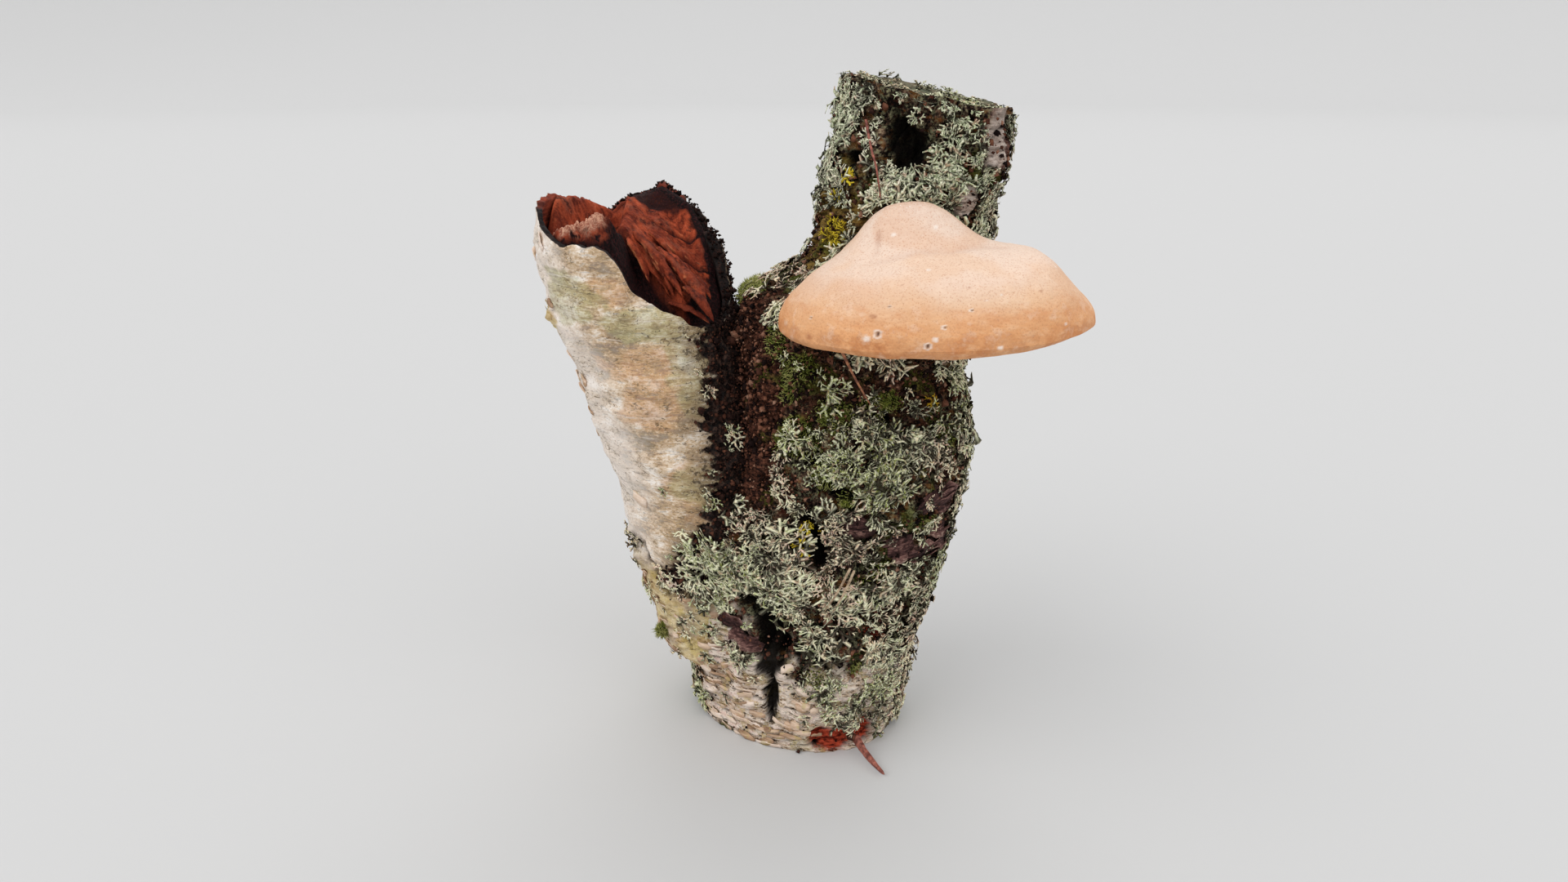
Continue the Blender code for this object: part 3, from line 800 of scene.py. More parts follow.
def scrap_material():
    """Curled scraps of bark: tan, cream or pinkish brown, darker along the grain."""
    s = Shader("bark_scraps", roughness=0.85, Specular_IOR_Level=0.15)
    grain = s.noise(6, 4, 0.6, vector=s.stretched((1, 1, 4)))
    stops = ((0.0, (124, 92, 70)), (0.3, (200, 166, 136)), (0.6, (240, 216, 194)), (1.0, (255, 240, 230)))
    colour = s.ramp((s.value("tone") * 0.7 + (grain - 0.35) * 0.9).clipped(), stops)
    colour = s.mix(s.noise(5, 3).above(0.56, 0.66) * 0.5, colour, (196, 178, 112))
    return s.finish(colour, bump=grain, bump_mm=0.4)


# --- trunk and stem ---

BARK_SINK = 3.0  # the bark lies this far under the lichen's tips, which the solid reaches
BARK_MASKS = (
    "ridge", "papery", "rotten", "plate", "green", "redwood", "shade", "sawn", "ochre", "growth",
    "sheet", "bare",
)
# Areas of the bark, each a middle and half sizes.
GULLY = ((-26, -28, 178), (24, 34, 64))
UNDER_CAP = ((30, -52, 192), (50, 26, 26))
UNDER_CAP_END = ((2, -46, 206), (15, 22, 26))
PAPERY_BASE = (
    ((-42, -30, 36), (32, 28, 46)), ((-20, -44, 20), (28, 22, 40)), ((28, -44, 20), (48, 26, 32)),
)
PAPERY_STEM = (((80.5, -32, 287), (5.6, 8, 20)), ((70, -37, 262), (8, 6, 7)))
PAPERY_AREAS = PAPERY_BASE + PAPERY_STEM
OCHRE_FLANK = ((8, -22, 254), (16, 26, 34))
BARE_FLANK = ((3, -18, 246), (13, 32, 24))
CRUSTY_PATCH = ((33, -50, 76), (19, 14, 17))
# Middle, half sizes, and how much denser or thinner than elsewhere the lichen grows there.
LICHEN_AREAS = (
    ((-22, -48, 92), (26, 20, 26), 0.5), ((26, -52, 190), (46, 30, 28), -0.6),
    ((4, -18, 252), (13, 34, 42), -0.6), ((52, -46, 140), (34, 24, 50), -0.22),
    ((-10, -4, 226), (18, 22, 10), -0.9), ((24, -34, 284), (9, 14, 20), -0.7),
    ((-8, -50, 136), (10, 14, 24), -0.35), ((42, -42, 26), (38, 26, 30), -1.0),
    ((71, -33, 118), (13, 18, 26), -0.9), ((62, -42, 98), (9, 12, 12), -0.6),
    ((40, -52, 200), (40, 24, 14), -0.4), ((30, 46, 110), (80, 34, 90), -0.22),
)
MOSS_PATCHES = (
    ((-11, -42, 207), (5, 8, 9)), ((-5, -48, 185), (6, 6, 5)), ((-3, -52, 163), (10, 8, 10)),
    ((12, -56, 148), (9, 8, 7)), ((14, -54, 176), (10, 8, 7)), ((-3, -50, 194), (8, 7, 8)),
    ((34, -54, 180), (9, 8, 6)), ((26, -54, 94), (5, 5, 4)), ((20, -55, 138), (5, 5, 5)),
    ((35, -54, 154), (5, 5, 4)), ((58, -44, 121), (5, 5, 4)), ((66, -42, 160), (4, 5, 5)),
    ((36, -52, 102), (5, 5, 4)), ((-28, -38, 88), (7, 6, 4)),
    ((8, -50, 43), (5, 5, 4)), ((27, -49, 49), (5, 5, 4)), ((17, -38, 277), (4, 6, 6)),
    ((-30, 30, 120), (14, 14, 26)), ((60, 40, 60), (16, 14, 20)), ((20, 52, 180), (18, 10, 16)),
)
REDWOOD = (((17, -47, 7), (15, 9, 7.5)), ((34, -42, 8), (5, 8, 7)), ((37, -50, 67), (6, 5, 4)))
# Plates and holes: the solid's own marks, then others (from, to, half width) that only the bark has.
PLATE_MARKS = tuple(mark for mark in BARK_MARKS if mark[3] > 0) + (((-37, -39, 73), (-20, -47, 57), 3),)
HOLE_MARKS = tuple(mark for mark in BARK_MARKS if mark[3] < 0) + (
    ((-30, -42, 86), (-22, -47, 76), 7), ((-22, -47, 76), (-9, -50, 59), 7.5),
    ((-15, -46, 61), (-13, -44, 20), 5.6), ((-2, -48, 56), (9, -50, 50), 6),
    ((-42, -36, 70), (-24, -44, 58), 3.5), ((35, -40, 298), (38, -40, 287), 8),
    ((16, -25, 281), (20, -25, 279), 4), ((2, -47, 51), (9, -50, 48), 5),
    ((-8, -44, 60), (-3, -44, 56), 6), ((6, -47, 7), (8, -47, 5), 2.4),
    ((21, -52, 65), (26, -52, 63), 4), ((12, -55, 142), (18, -55, 138), 4),
    ((34, -56, 175), (38, -55, 173), 3.4), ((47, -50, 200), (51, -48, 199), 4),
    ((56, -45, 127), (59, -44, 124), 3.4), ((50, -42, 69), (54, -41, 65), 4),
    ((26, -55, 121), (30, -54, 123), 2.8), ((44, -48, 150), (47, -47, 144), 3),
)
# The room that the bracket takes, and that of its hump, each a middle and half sizes.
CAP_ROOM = ((*CAP_CENTRE, CAP_RIM_LEVEL + 6), (CAP_HALF_WIDTH, 48, 24))
HUMP_ROOM = ((43, -48, 245), (30, 24, 20))


def plates(points):
    """1 on the raised bare plates of bark."""
    return np.max(smooth(near_marks(points, PLATE_MARKS), 0.3, 0.5), 0)


def hollowed(points):
    """1 in the dark holes and cracks of the bark, falling off towards their ragged edges."""
    return np.max(near_marks(shaken(points, 1.8, 5, 44), HOLE_MARKS, 0.8), 0)


def lichen_cover(points):
    """How densely lichen grows on the trunk and stem, from 0 to 1."""
    cover = 0.5 + 1.5 * noise(points, 15, 21, 3) + 1.1 * noise(points, 6, 27, 2)
    for centre, radii, more in LICHEN_AREAS:
        cover = cover + more * blob(points, centre, radii, 0.4)
    cover = np.clip(cover, 0, 1) * (1 - blob(points, *GULLY, 0.4))
    cover = cover * (1 - strongest(points, PAPERY_AREAS)) * (1 - strongest(points, REDWOOD))
    cover = cover * (1 - blob(points, *UNDER_CAP_END, 0.4)) * outside_others(points)
    cover = cover * (1 - plates(points)) * (1 - smooth(hollowed(points), 0.06, 0.25))
    cover = cover * (1 - 0.85 * strongest(points, (BARE_FLANK, CRUSTY_PATCH), 0.5))
    return np.clip(cover * smooth(points[..., 2], 2, 10), 0, 1)


def outside_others(points):
    """0 inside the limb or under the bracket's foot, and 1 elsewhere."""
    height = points[..., 2]
    x, y, radius = table(LIMB_SECTIONS, height)
    away = np.hypot(points[..., 0] - x, points[..., 1] - y) - radius
    clear = np.where((height > LIMB_FOOT - 2) & (height < TRUNK_TOP), smooth(away, -4, 1), 1)
    rooms = [np.linalg.norm((points - middle) / half, axis=-1) for middle, half in (CAP_ROOM, HUMP_ROOM)]
    return clear * smooth(np.minimum(*rooms), 0.9, 1.0)


def bark_depth(cover, papery):
    """How far the bark lies inside the solid: deepest under lichen, and not at all where it is papery."""
    return BARK_SINK * (0.35 + 0.65 * cover) * (1 - papery)


def bark_lumps(points):
    """The solid's own lumps, and smaller ones between them."""
    return trunk_relief(points) + 1.8 * noise(points, 11, 66, 2) * smooth(points[..., 2], 0, 20)


def bark_surface(angle, height):
    """Points of the finished bark, and its masks, over arrays of angle and height."""
    plain, out = trunk_plain(angle, height)
    cover = smooth(lichen_cover(plain), 0.1, 0.5)
    papery = strongest(plain, PAPERY_AREAS)
    rotten = np.maximum(blob(plain, *GULLY), 0.7 * blob(plain, *UNDER_CAP, 0.5))
    wavy = shaken(plain, 3.5, 16, 40)
    gap, owner = crumbs_of(wavy, (9, 9, 13), 50)
    crack = 1 - smooth(gap, 0.04, 0.26)
    rough = noise(plain, 5, 61, 4)
    along, number = sheets(plain, 3.8, 62)
    lift = bark_lumps(plain) - bark_depth(cover, papery)
    lift = lift + (1 - papery) * ((owner - 0.5) * 2.2 - 2.4 * crack + 0.9 * rough)
    lift = lift + papery * (1.8 * (1 - along) + 1.4 * (number - 0.5) + 0.6 * rough - 1.6)
    lift = lift + rotten * (1.6 * noise(plain, (4, 4, 9), 63, 3))
    hole = hollowed(wavy)
    lift = lift - 5.0 * smooth(hole, 0.25, 0.7)
    lift = lift * (0.35 + 0.65 * smooth(plain[..., 2], 0, 5))
    redwood = strongest(plain, REDWOOD, 0.3)
    lift = lift - 2.6 * redwood
    plate = plates(plain) * (1 - papery)
    green = np.maximum(strongest(plain, MOSS_PATCHES, 0.5), 0.6 * smooth(noise(plain, 13, 64, 2), 0.35, 0.6))
    under_sheet = papery * smooth(along, 0.8, 0.95) * smooth(number, 0.1, 0.5) * 0.75 * (1 - redwood)
    # ridge is lighter on the ridges and darker in the cracks, as painted shade over the bark's own tone;
    # shade is painted shade in holes and under the sheets' edges.
    masks = dict.fromkeys(BARK_MASKS, np.zeros_like(height))
    masks.update(
        ridge=np.clip(0.5 + 0.35 * rough + 0.25 * (owner - 0.5) - 0.7 * crack, 0, 1),
        papery=papery, rotten=rotten, bare=strongest(plain, PAPERY_STEM, 0.25),
        plate=plate, green=green * (1 - plate) * (1 - papery), redwood=redwood, sheet=number,
        shade=np.maximum(smooth(hole, 0.14, 0.42) * 0.97, under_sheet),
        ochre=blob(plain, *OCHRE_FLANK, 0.6),
    )
    return plain + out * lift[..., None], masks


def sawn_disc(edge, shares, level=None):
    """Rings from a surface's end ring to its middle, with growth rings and small splits."""
    middle = edge.mean(0)
    share = np.array(shares)[:, None, None]
    rings = middle + (edge - middle) * share
    far = np.linalg.norm(rings - middle, axis=-1)
    wobble = noise(rings, 16, 70, 2)
    rings[..., 2] += 0.25 * noise(rings, 4, 71, 3) * smooth(1 - share[..., 0], 0, 0.06)
    if level is not None:
        rings[..., 2] = level
    masks = dict.fromkeys(BARK_MASKS, np.zeros(rings.shape[:2]))
    masks["sawn"] = np.broadcast_to(smooth(1 - share[..., 0], 0.01, 0.05), far.shape)
    masks["growth"] = 0.5 + 0.5 * np.sin(far * 2.6 + 4 * wobble)
    return rings, masks


def stacked(parts):
    """Joins row blocks, each of points and masks, into one."""
    rings = np.concatenate([rows for rows, _ in parts])
    labels = parts[0][1]
    return rings, {label: np.concatenate([masks[label] for _, masks in parts]) for label in labels}


# --- small things that grow or lie on a surface ---

class Carrier:
    """A coarse grid of a surface, on which small things are placed by column, row and lift."""

    def __init__(self, points, cover):
        self.points = points
        self.cover = cover
        self.rows, self.columns = points.shape[:2]
        self.normals, across, along = facing(points)
        self.column_mm = np.linalg.norm(across, axis=-1) / 2
        self.row_mm = np.linalg.norm(along, axis=-1)

    def read(self, values, u, v):
        """Bilinear value of a grid's values at column u, which wraps, and row v, which is held inside."""
        v = np.clip(v, 0, self.rows - 1.001)
        column, row = np.floor(u).astype(int), np.floor(v).astype(int)
        s, t = u - column, v - row
        if values.ndim == 3:
            s, t = s[..., None], t[..., None]
        left, right = column % self.columns, (column + 1) % self.columns
        low = values[row, left] * (1 - s) + values[row, right] * s
        high = values[row + 1, left] * (1 - s) + values[row + 1, right] * s
        return low * (1 - t) + high * t

    def place(self, u, v, lift):
        """Points above the surface, along its normal."""
        return self.read(self.points, u, v) + self.read(self.normals, u, v) * lift[..., None]

    def beside(self, u, v, x, y):
        """Columns and rows that lie x and y millimetres across and along the surface from each seed."""
        shape = (-1,) + (1,) * (x.ndim - 1)
        column_mm, row_mm = (np.maximum(self.read(size, u, v), 0.3) for size in (self.column_mm, self.row_mm))
        return u.reshape(shape) + x / column_mm.reshape(shape), v.reshape(shape) + y / row_mm.reshape(shape)

    def scatter(self, spacing, draw):
        """Jittered seeds about spacing millimetres apart, kept where the cover allows."""
        width = self.column_mm.mean() * self.columns
        tall = self.row_mm.mean() * (self.rows - 1)
        columns, rows = max(int(width / spacing), 1), max(int(tall / spacing), 1)
        v, u = np.meshgrid(np.arange(rows), np.arange(columns), indexing="ij")
        u = (u + draw.uniform(0, 1, u.shape)).ravel() / columns * self.columns
        v = (v + draw.uniform(0, 1, v.shape)).ravel() / rows * (self.rows - 1)
        kept = draw.uniform(0, 1, u.shape) < self.read(self.cover, u, v)
        return u[kept], v[kept]


def lobes(carrier, u, v, lift, heading, length, width, climb, taper):
    """Short lobes from (u, v): two low edges and a ridge between them, three points at each end."""
    step = np.array([0.0, 1.0])
    along = length[:, None] * step
    wide = width[:, None] * (1 - (1 - taper[:, None]) * step)
    side = wide[..., None] * np.array([-0.5, 0.5, 0.0])
    x = (along * np.cos(heading)[:, None])[..., None] - np.sin(heading)[:, None, None] * side
    y = (along * np.sin(heading)[:, None])[..., None] + np.cos(heading)[:, None, None] * side
    tilt = 0.5 * np.sin(heading * 3 + lift * 5)[:, None, None] * side
    high = (lift[:, None] + climb[:, None] * along)[..., None] + tilt
    high = high + wide[..., None] * np.array([0.0, 0.0, 0.34])
    points = carrier.place(*carrier.beside(u, v, x, y), high).reshape(len(u), 6, 3)
    reach = 0.9 * length
    ends = carrier.beside(u, v, reach * np.cos(heading), reach * np.sin(heading))
    return points, (*ends, lift + climb * reach, heading)


LOBE_QUADS = np.array([[0, 1, 4, 3], [1, 2, 5, 4], [2, 0, 3, 5]])
LOBE_ENDS = np.array([[0, 2, 1], [3, 4, 5]])
# Painted shade: a lobe's edges are painted darker than its ridge.
LOBE_EDGE_SHADE = np.array([-0.3, -0.3, 0.0])  # how much darker than its ridge a lobe's edges are
NO_QUADS = np.zeros((0, 4), int)
NO_TRIANGLES = np.zeros((0, 3), int)


def repeated(pattern, count, stride):
    """Corner numbers of count copies of a small shape with stride points each."""
    return (np.arange(count)[:, None, None] * stride + pattern).reshape(-1, pattern.shape[1])


def grow_lichen(carrier, spacing, size, seed, forks, branches, tones=(0.0, 1.0)):
    """Tufts of forking lobes: each lobe ends in two narrower ones, turned apart, that curl upwards."""
    draw = np.random.RandomState(seed)
    seed_u, seed_v = carrier.scatter(spacing, draw)
    tufts = len(seed_u)
    spread = size * (0.45 + 1.0 * draw.uniform(0, 1, tufts) ** 1.4)
    where = carrier.place(seed_u, seed_v, 0 * seed_u)
    # Painted shade darkens tufts at random, in clumps, and a little more towards the right of the trunk.
    right_side = where[:, 0] * smooth(-where[:, 2], -235, -215) * smooth(where[:, 2], 40, 70)
    clump = np.clip(noise(where, 10, 301, 2), -0.45, 0.8)
    tuft_shade = draw.uniform(0, 0.44, tufts) ** 1.5 + 0.0015 * right_side + 0.34 * clump
    local = noise(where, 28, 300, 2)
    tone = tones[0] + (tones[1] - tones[0]) * np.clip(0.5 + 0.8 * local + draw.normal(0, 0.2, tufts), 0, 1)
    u, v, scale, tone, tuft_shade = (np.repeat(value, branches) for value in (seed_u, seed_v, spread, tone, tuft_shade))
    spoke = np.tile(np.arange(branches) / branches * 2 * math.pi, tufts)
    heading = spoke + draw.uniform(-0.5, 0.5, len(u)) + np.repeat(draw.uniform(0, 6.3, tufts), branches)
    lift = 0.2 + draw.uniform(0, 0.9, len(u))
    wide = 1.45 * scale**0.6 * draw.uniform(0.75, 1.25, len(u))
    length = 2.4 * scale**0.85 * draw.uniform(0.7, 1.35, len(u))
    climb = draw.uniform(0.15, 0.95, len(u))
    strips, tone_rows, tip_rows = [], [], []
    for fork in range(forks):
        last = fork == forks - 1
        taper = np.full(len(u), 0.55 if last else 1.05)
        points, ends = lobes(carrier, u, v, lift, heading, length, wide, climb, taper)
        strips.append(points)
        tone_rows.append(np.repeat(tone + draw.normal(0, 0.12, len(u)), 6))
        # tip holds painted light: shade towards each tuft's base and on the lobes' edges, highlight on the
        # ridges of the outer lobes, and lit lightens or shades each lobe at random.
        near, far = 0.5 + 0.5 * np.array([fork, fork + 1]) / forks
        rise = np.concatenate([near + LOBE_EDGE_SHADE, far + (0.2 if last else 1) * LOBE_EDGE_SHADE])
        lit = np.clip(draw.normal(0, 0.22, (len(u), 1)), -0.5, 0.25) - tuft_shade[:, None]
        tip_rows.append(np.clip(rise + lit, 0, 1).ravel())
        if last:
            break
        kept = np.repeat(np.arange(len(u)), 2)
        side = np.tile([-1, 1], len(u))
        inside = carrier.read(carrier.cover, ends[0], ends[1]) > 0.04
        chosen = (draw.uniform(0, 1, len(kept)) < 0.9) & inside[kept]
        kept, side = kept[chosen], side[chosen]
        u, v, lift, heading = (value[kept] for value in ends)
        heading = heading + side * draw.uniform(0.3, 1.0, len(kept))
        wide = wide[kept] * draw.uniform(0.8, 1.0, len(kept))
        length = length[kept] * draw.uniform(0.7, 1.15, len(kept))
        climb = np.clip(climb[kept] * draw.uniform(0, 1.1, len(kept)) + 0.24 - 0.13 * lift, -0.6, 0.9)
        tone, tuft_shade = tone[kept], tuft_shade[kept]
    points = np.concatenate(strips).reshape(-1, 3)
    made = len(points) // 6
    return (points, repeated(LOBE_QUADS, made, 6), repeated(LOBE_ENDS, made, 6),
            np.concatenate(tone_rows), np.concatenate(tip_rows))


def blades(carrier, spacing, length, width, seed):
    """Thin four-sided spikes: three points on the surface and a leaning tip."""
    lean = 0.6
    draw = np.random.RandomState(seed)
    u, v = carrier.scatter(spacing, draw)
    count = len(u)
    turn = draw.uniform(0, 2 * math.pi, count)
    tall = length * draw.uniform(0.5, 1.3, count)
    wide = width * draw.uniform(0.7, 1.3, count)
    corner = turn[:, None] + np.array([0, 2.1, 4.2])
    x = np.concatenate([np.cos(corner) * wide[:, None], (np.cos(turn) * lean * tall)[:, None]], 1)
    y = np.concatenate([np.sin(corner) * wide[:, None], (np.sin(turn) * lean * tall)[:, None]], 1)
    high = np.concatenate([np.full((count, 3), -0.3), tall[:, None]], 1)
    points = carrier.place(*carrier.beside(u, v, x, y), high)
    sides = np.array([[0, 1, 3], [1, 2, 3], [2, 0, 3], [0, 2, 1]])
    tone = np.repeat(draw.uniform(0, 1, count), 4)
    tip = np.tile([0, 0, 0, 1], count)
    return points.reshape(-1, 3), NO_QUADS, repeated(sides, count, 4), tone, tip


def chunks(carrier, spacing, size, seed, high=(0.0, 1.2), light=1.0):
    """Eight-sided crumbs: six points on the axes of a stretched, turned and jittered octahedron."""
    draw = np.random.RandomState(seed)
    u, v = carrier.scatter(spacing, draw)
    count = len(u)
    centre = carrier.place(u, v, draw.uniform(*high, count))
    spokes = np.array([[1, 0, 0], [0, 1, 0], [-1, 0, 0], [0, -1, 0], [0, 0, 1], [0, 0, -1]], float)
    frames = np.linalg.qr(draw.normal(size=(count, 3, 3)))[0]
    frames[:, :, 0] *= np.sign(np.linalg.det(frames))[:, None]
    reach = size * draw.lognormal(0, 0.45, (count, 1, 1)) * draw.uniform(0.45, 1.2, (count, 6, 1))
    points = centre[:, None] + (spokes * reach) @ frames.transpose(0, 2, 1)
    ring = np.arange(4)
    up = np.stack([ring, (ring + 1) % 4, np.full(4, 4)], -1)
    down = np.stack([(ring + 1) % 4, ring, np.full(4, 5)], -1)
    faces = repeated(np.concatenate([up, down]), count, 6)
    tone = np.repeat(draw.uniform(0, light, count), 6)
    return points.reshape(-1, 3), NO_QUADS, faces, tone, tone


def flakes(carrier, spacing, length, height, seed, curl):
    """Curled scraps of bark: a bent sheet five points long and three high, closed with its own back."""
    draw = np.random.RandomState(seed)
    u, v = carrier.scatter(spacing, draw)
    count = len(u)
    lengths = length * draw.lognormal(0, 0.35, count)
    tall = height * draw.lognormal(0, 0.3, count)
    turn = draw.normal(0, 0.22, count)
    bend = curl * draw.uniform(0.1, 1.0, count) * draw.choice([-1, 1], count, p=[0.35, 0.65])
    s = np.linspace(-0.5, 0.5, 5)[None, None, :, None]
    t = np.linspace(-0.5, 0.5, 3)[None, None, None, :]
    layer = np.array([1.0, 0.0])[None, :, None, None]
    column = (slice(None), None, None, None)
    ragged = 1 + 0.35 * draw.uniform(-1, 1, (count, 1, 5, 3))
    x0 = lengths[column] * s + 0 * layer
    y0 = tall[column] * t * ragged * (1 - 1.4 * s**2)
    x = x0 * np.cos(turn)[column] - y0 * np.sin(turn)[column]
    y = x0 * np.sin(turn)[column] + y0 * np.cos(turn)[column]
    lifted = np.abs(bend)[column] * np.clip(t * np.sign(bend)[column] + 0.5, 0, 1) ** 2
    high = lifted * (1 - 2.4 * s**2) + 0.2 + 0.35 * layer
    points = carrier.place(*carrier.beside(u, v, x, y), high)
    row, step = np.meshgrid(np.arange(4), np.arange(2), indexing="ij")
    corner = (row * 3 + step).ravel()
    top = np.stack([corner, corner + 3, corner + 4, corner + 1], -1)
    edge = np.array([0, 1, 2, 5, 8, 11, 14, 13, 12, 9, 6, 3])
    after = np.roll(edge, -1)
    wall = np.stack([edge, after, after + 15, edge + 15], -1)
    faces = np.concatenate([top, top[:, ::-1] + 15, wall])
    tone = np.repeat(draw.uniform(0, 1, count), 30)
    tip = np.broadcast_to(lifted / curl, points.shape[:-1]).reshape(-1)
    return points.reshape(-1, 3), repeated(faces, count, 30), NO_TRIANGLES, tone, tip


def scattered(name, shapes, material):
    """One piece from many small shapes, none of them below the surface that the object stands on."""
    points, quads, triangles, tone, tip = shapes
    points = np.maximum(points, (-np.inf, -np.inf, 0.1))
    dress(mesh_of(name, points, quads, triangles, tone=tone, tip=tip), material)


# --- settings ---

class BarkSettings(bpy.types.PropertyGroup):
    columns: bpy.props.IntProperty(
        name="Columns", description="Grid columns around the trunk", default=320, min=24)
    rows: bpy.props.IntProperty(
        name="Rows", description="Grid rows up the trunk", default=240, min=24)
    stem_rows: bpy.props.IntProperty(
        name="Stem rows", description="Grid rows up the upright stem", default=90, min=12)


class LimbSettings(bpy.types.PropertyGroup):
    columns: bpy.props.IntProperty(
        name="Columns", description="Grid columns around the broken limb", default=320, min=24)
    rows: bpy.props.IntProperty(
        name="Rows", description="Grid rows up the outer bark", default=200, min=24)


class FungusSettings(bpy.types.PropertyGroup):
    columns: bpy.props.IntProperty(
        name="Columns", description="Grid columns around the bracket", default=320, min=24)
    rows: bpy.props.IntProperty(
        name="Rows", description="Grid rows from the underside to the top", default=260, min=24)


class LichenSettings(bpy.types.PropertyGroup):
    spacing: bpy.props.FloatProperty(
        name="Spacing", description="Distance between tufts, in millimetres", default=7.0, min=3)
    size: bpy.props.FloatProperty(
        name="Size", description="Size of a tuft against the usual one", default=1.0, min=0.3)


class StageSettings(bpy.types.PropertyGroup):
    floor_radius: bpy.props.FloatProperty(
        name="Floor radius", description="Where the floor starts to curve up", default=7.0, unit="LENGTH")
    floor_colour: bpy.props.FloatVectorProperty(
        name="Floor colour", description="Colour of the floor", default=(0.63, 0.63, 0.63),
        subtype="COLOR", size=3, min=0, max=1)
    sky: bpy.props.FloatProperty(name="Sky", description="Strength of the soft light all round", default=0.8)
    lens: bpy.props.FloatProperty(
        name="Lens", description="Focal length of the camera, in millimetres", default=24.444)


# --- operators ---

# Radii of the rings of a sawn cut, as shares of its edge's.
DISC_SHARES = (0.12, 0.25, 0.4, 0.52, 0.62, 0.7, 0.77, 0.83, 0.88, 0.92, 0.95, 0.975)
OVERLAP = 1.5  # how far the trunk's bark and the stem's each run past the height where they meet


class BARK_OT_trunk(bpy.types.Operator):
    """Rough bark of the trunk, from its flat base cut to the foot of the stem"""
    bl_idname = "bracket.trunk"
    bl_label = "Trunk bark"

    def execute(self, context):
        chosen = context.scene.bracket_bark
        side = bark_surface(*grid(0, TRUNK_TOP + OVERLAP, chosen.rows, chosen.columns))
        base = sawn_disc(side[0][0], DISC_SHARES, level=0.0)
        top = sawn_disc(side[0][-1], DISC_SHARES[::-3])
        rings, masks = stacked([base, side, top])
        mesh = closed_skin("trunk_bark", rings, **masks)
        dress(mesh, bark_material(), ["trunk"])
        return {"FINISHED"}


class BARK_OT_stem(bpy.types.Operator):
    """Rough bark of the upright stem, and the weathered cut across its top"""
    bl_idname = "bracket.stem"
    bl_label = "Stem bark"

    def execute(self, context):
        chosen = context.scene.bracket_bark
        angle, height = grid(TRUNK_TOP - OVERLAP, STEM_TOP, chosen.stem_rows, chosen.columns)
        side = bark_surface(angle, height)
        top = sawn_disc(side[0][-1], DISC_SHARES[::-1])
        front = smooth(-np.sin(angle[0] - 0.2), 0, 0.5) * (2.4 + 1.2 * noise(side[0][-1], 6, 72, 3))
        side[0][-5:, :, 2] += front * np.array([0.1, 0.35, 0.65, 0.9, 1.0])[:, None]
        top[0][:1, :, 2] += front * 0.6
        base = sawn_disc(side[0][0], DISC_SHARES[::3])
        rings, masks = stacked([base, side, top])
        mesh = closed_skin("stem_bark", rings, **masks)
        dress(mesh, bark_material(), ["upright_stem"])
        return {"FINISHED"}


# Marks of the limb's bark: from, to, half width, and height against the bark around it.
LIMB_BUMP = ((-109, -23, 210.5), (-112, -20, 211.5), 1.9, 3.6)
LIMB_FLAPS = (
    ((-100, -29, 199), (-97, -29, 188), 4.0, 2.6), ((-94, -26, 176), (-90, -26, 163), 4.5, 3.0),
    ((-82, -20, 120), (-79, -20, 110), 3.0, 2.0), ((-80, -12, 103), (-79, -12, 97), 3.0, 2.4),
    ((-78, -14, 92), (-77, -13, 88), 3.6, 3.0),
)
LIMB_FISSURES = (
    ((-74, -21, 101), (-70, -22, 87), 1.4, -3.0), ((-71, -22, 90), (-65, -26, 76), 2.6, -4.5),
    ((-62, -22, 66), (-52, -25, 44), 1.3, -2.5), ((-51, -33, 80), (-50, -33, 75), 3.2, -2.5),
)
# Compass angle at each height where the white bark ends and the dark crust beside the fork begins.
CRUST_FRONT = ((76, -143), (102, -104), (120, -84), (136, -74), (155, -64), (181, -59), (210, -44))
CRUST_BACK = 78
# Coloured areas of the limb's bark, each a middle and half sizes.
LIMB_GREEN = (
    ((-98, -32, 222), (18, 22, 11)), ((-62, -44, 212), (26, 14, 9)), ((-46, -40, 200), (12, 14, 18)),
    ((-44, -42, 180), (9, 12, 16)), ((-70, 38, 180), (26, 16, 20)), ((-44, -38, 140), (12, 14, 12)),
)
LIMB_ORANGE = (
    ((-66, -44, 192), (20, 16, 13)), ((-62, -44, 174), (18, 14, 8)), ((-44, -42, 142), (14, 14, 10)),
    ((-44, -42, 124), (12, 14, 9)), ((-82, -38, 226), (12, 14, 7)), ((-70, 38, 110), (26, 16, 20)),
)
LIMB_YELLOW = (
    ((-60, -24, 66), (26, 24, 22)), ((-50, -28, 36), (26, 22, 16)), ((-110, -14, 210), (7, 14, 8)),
)


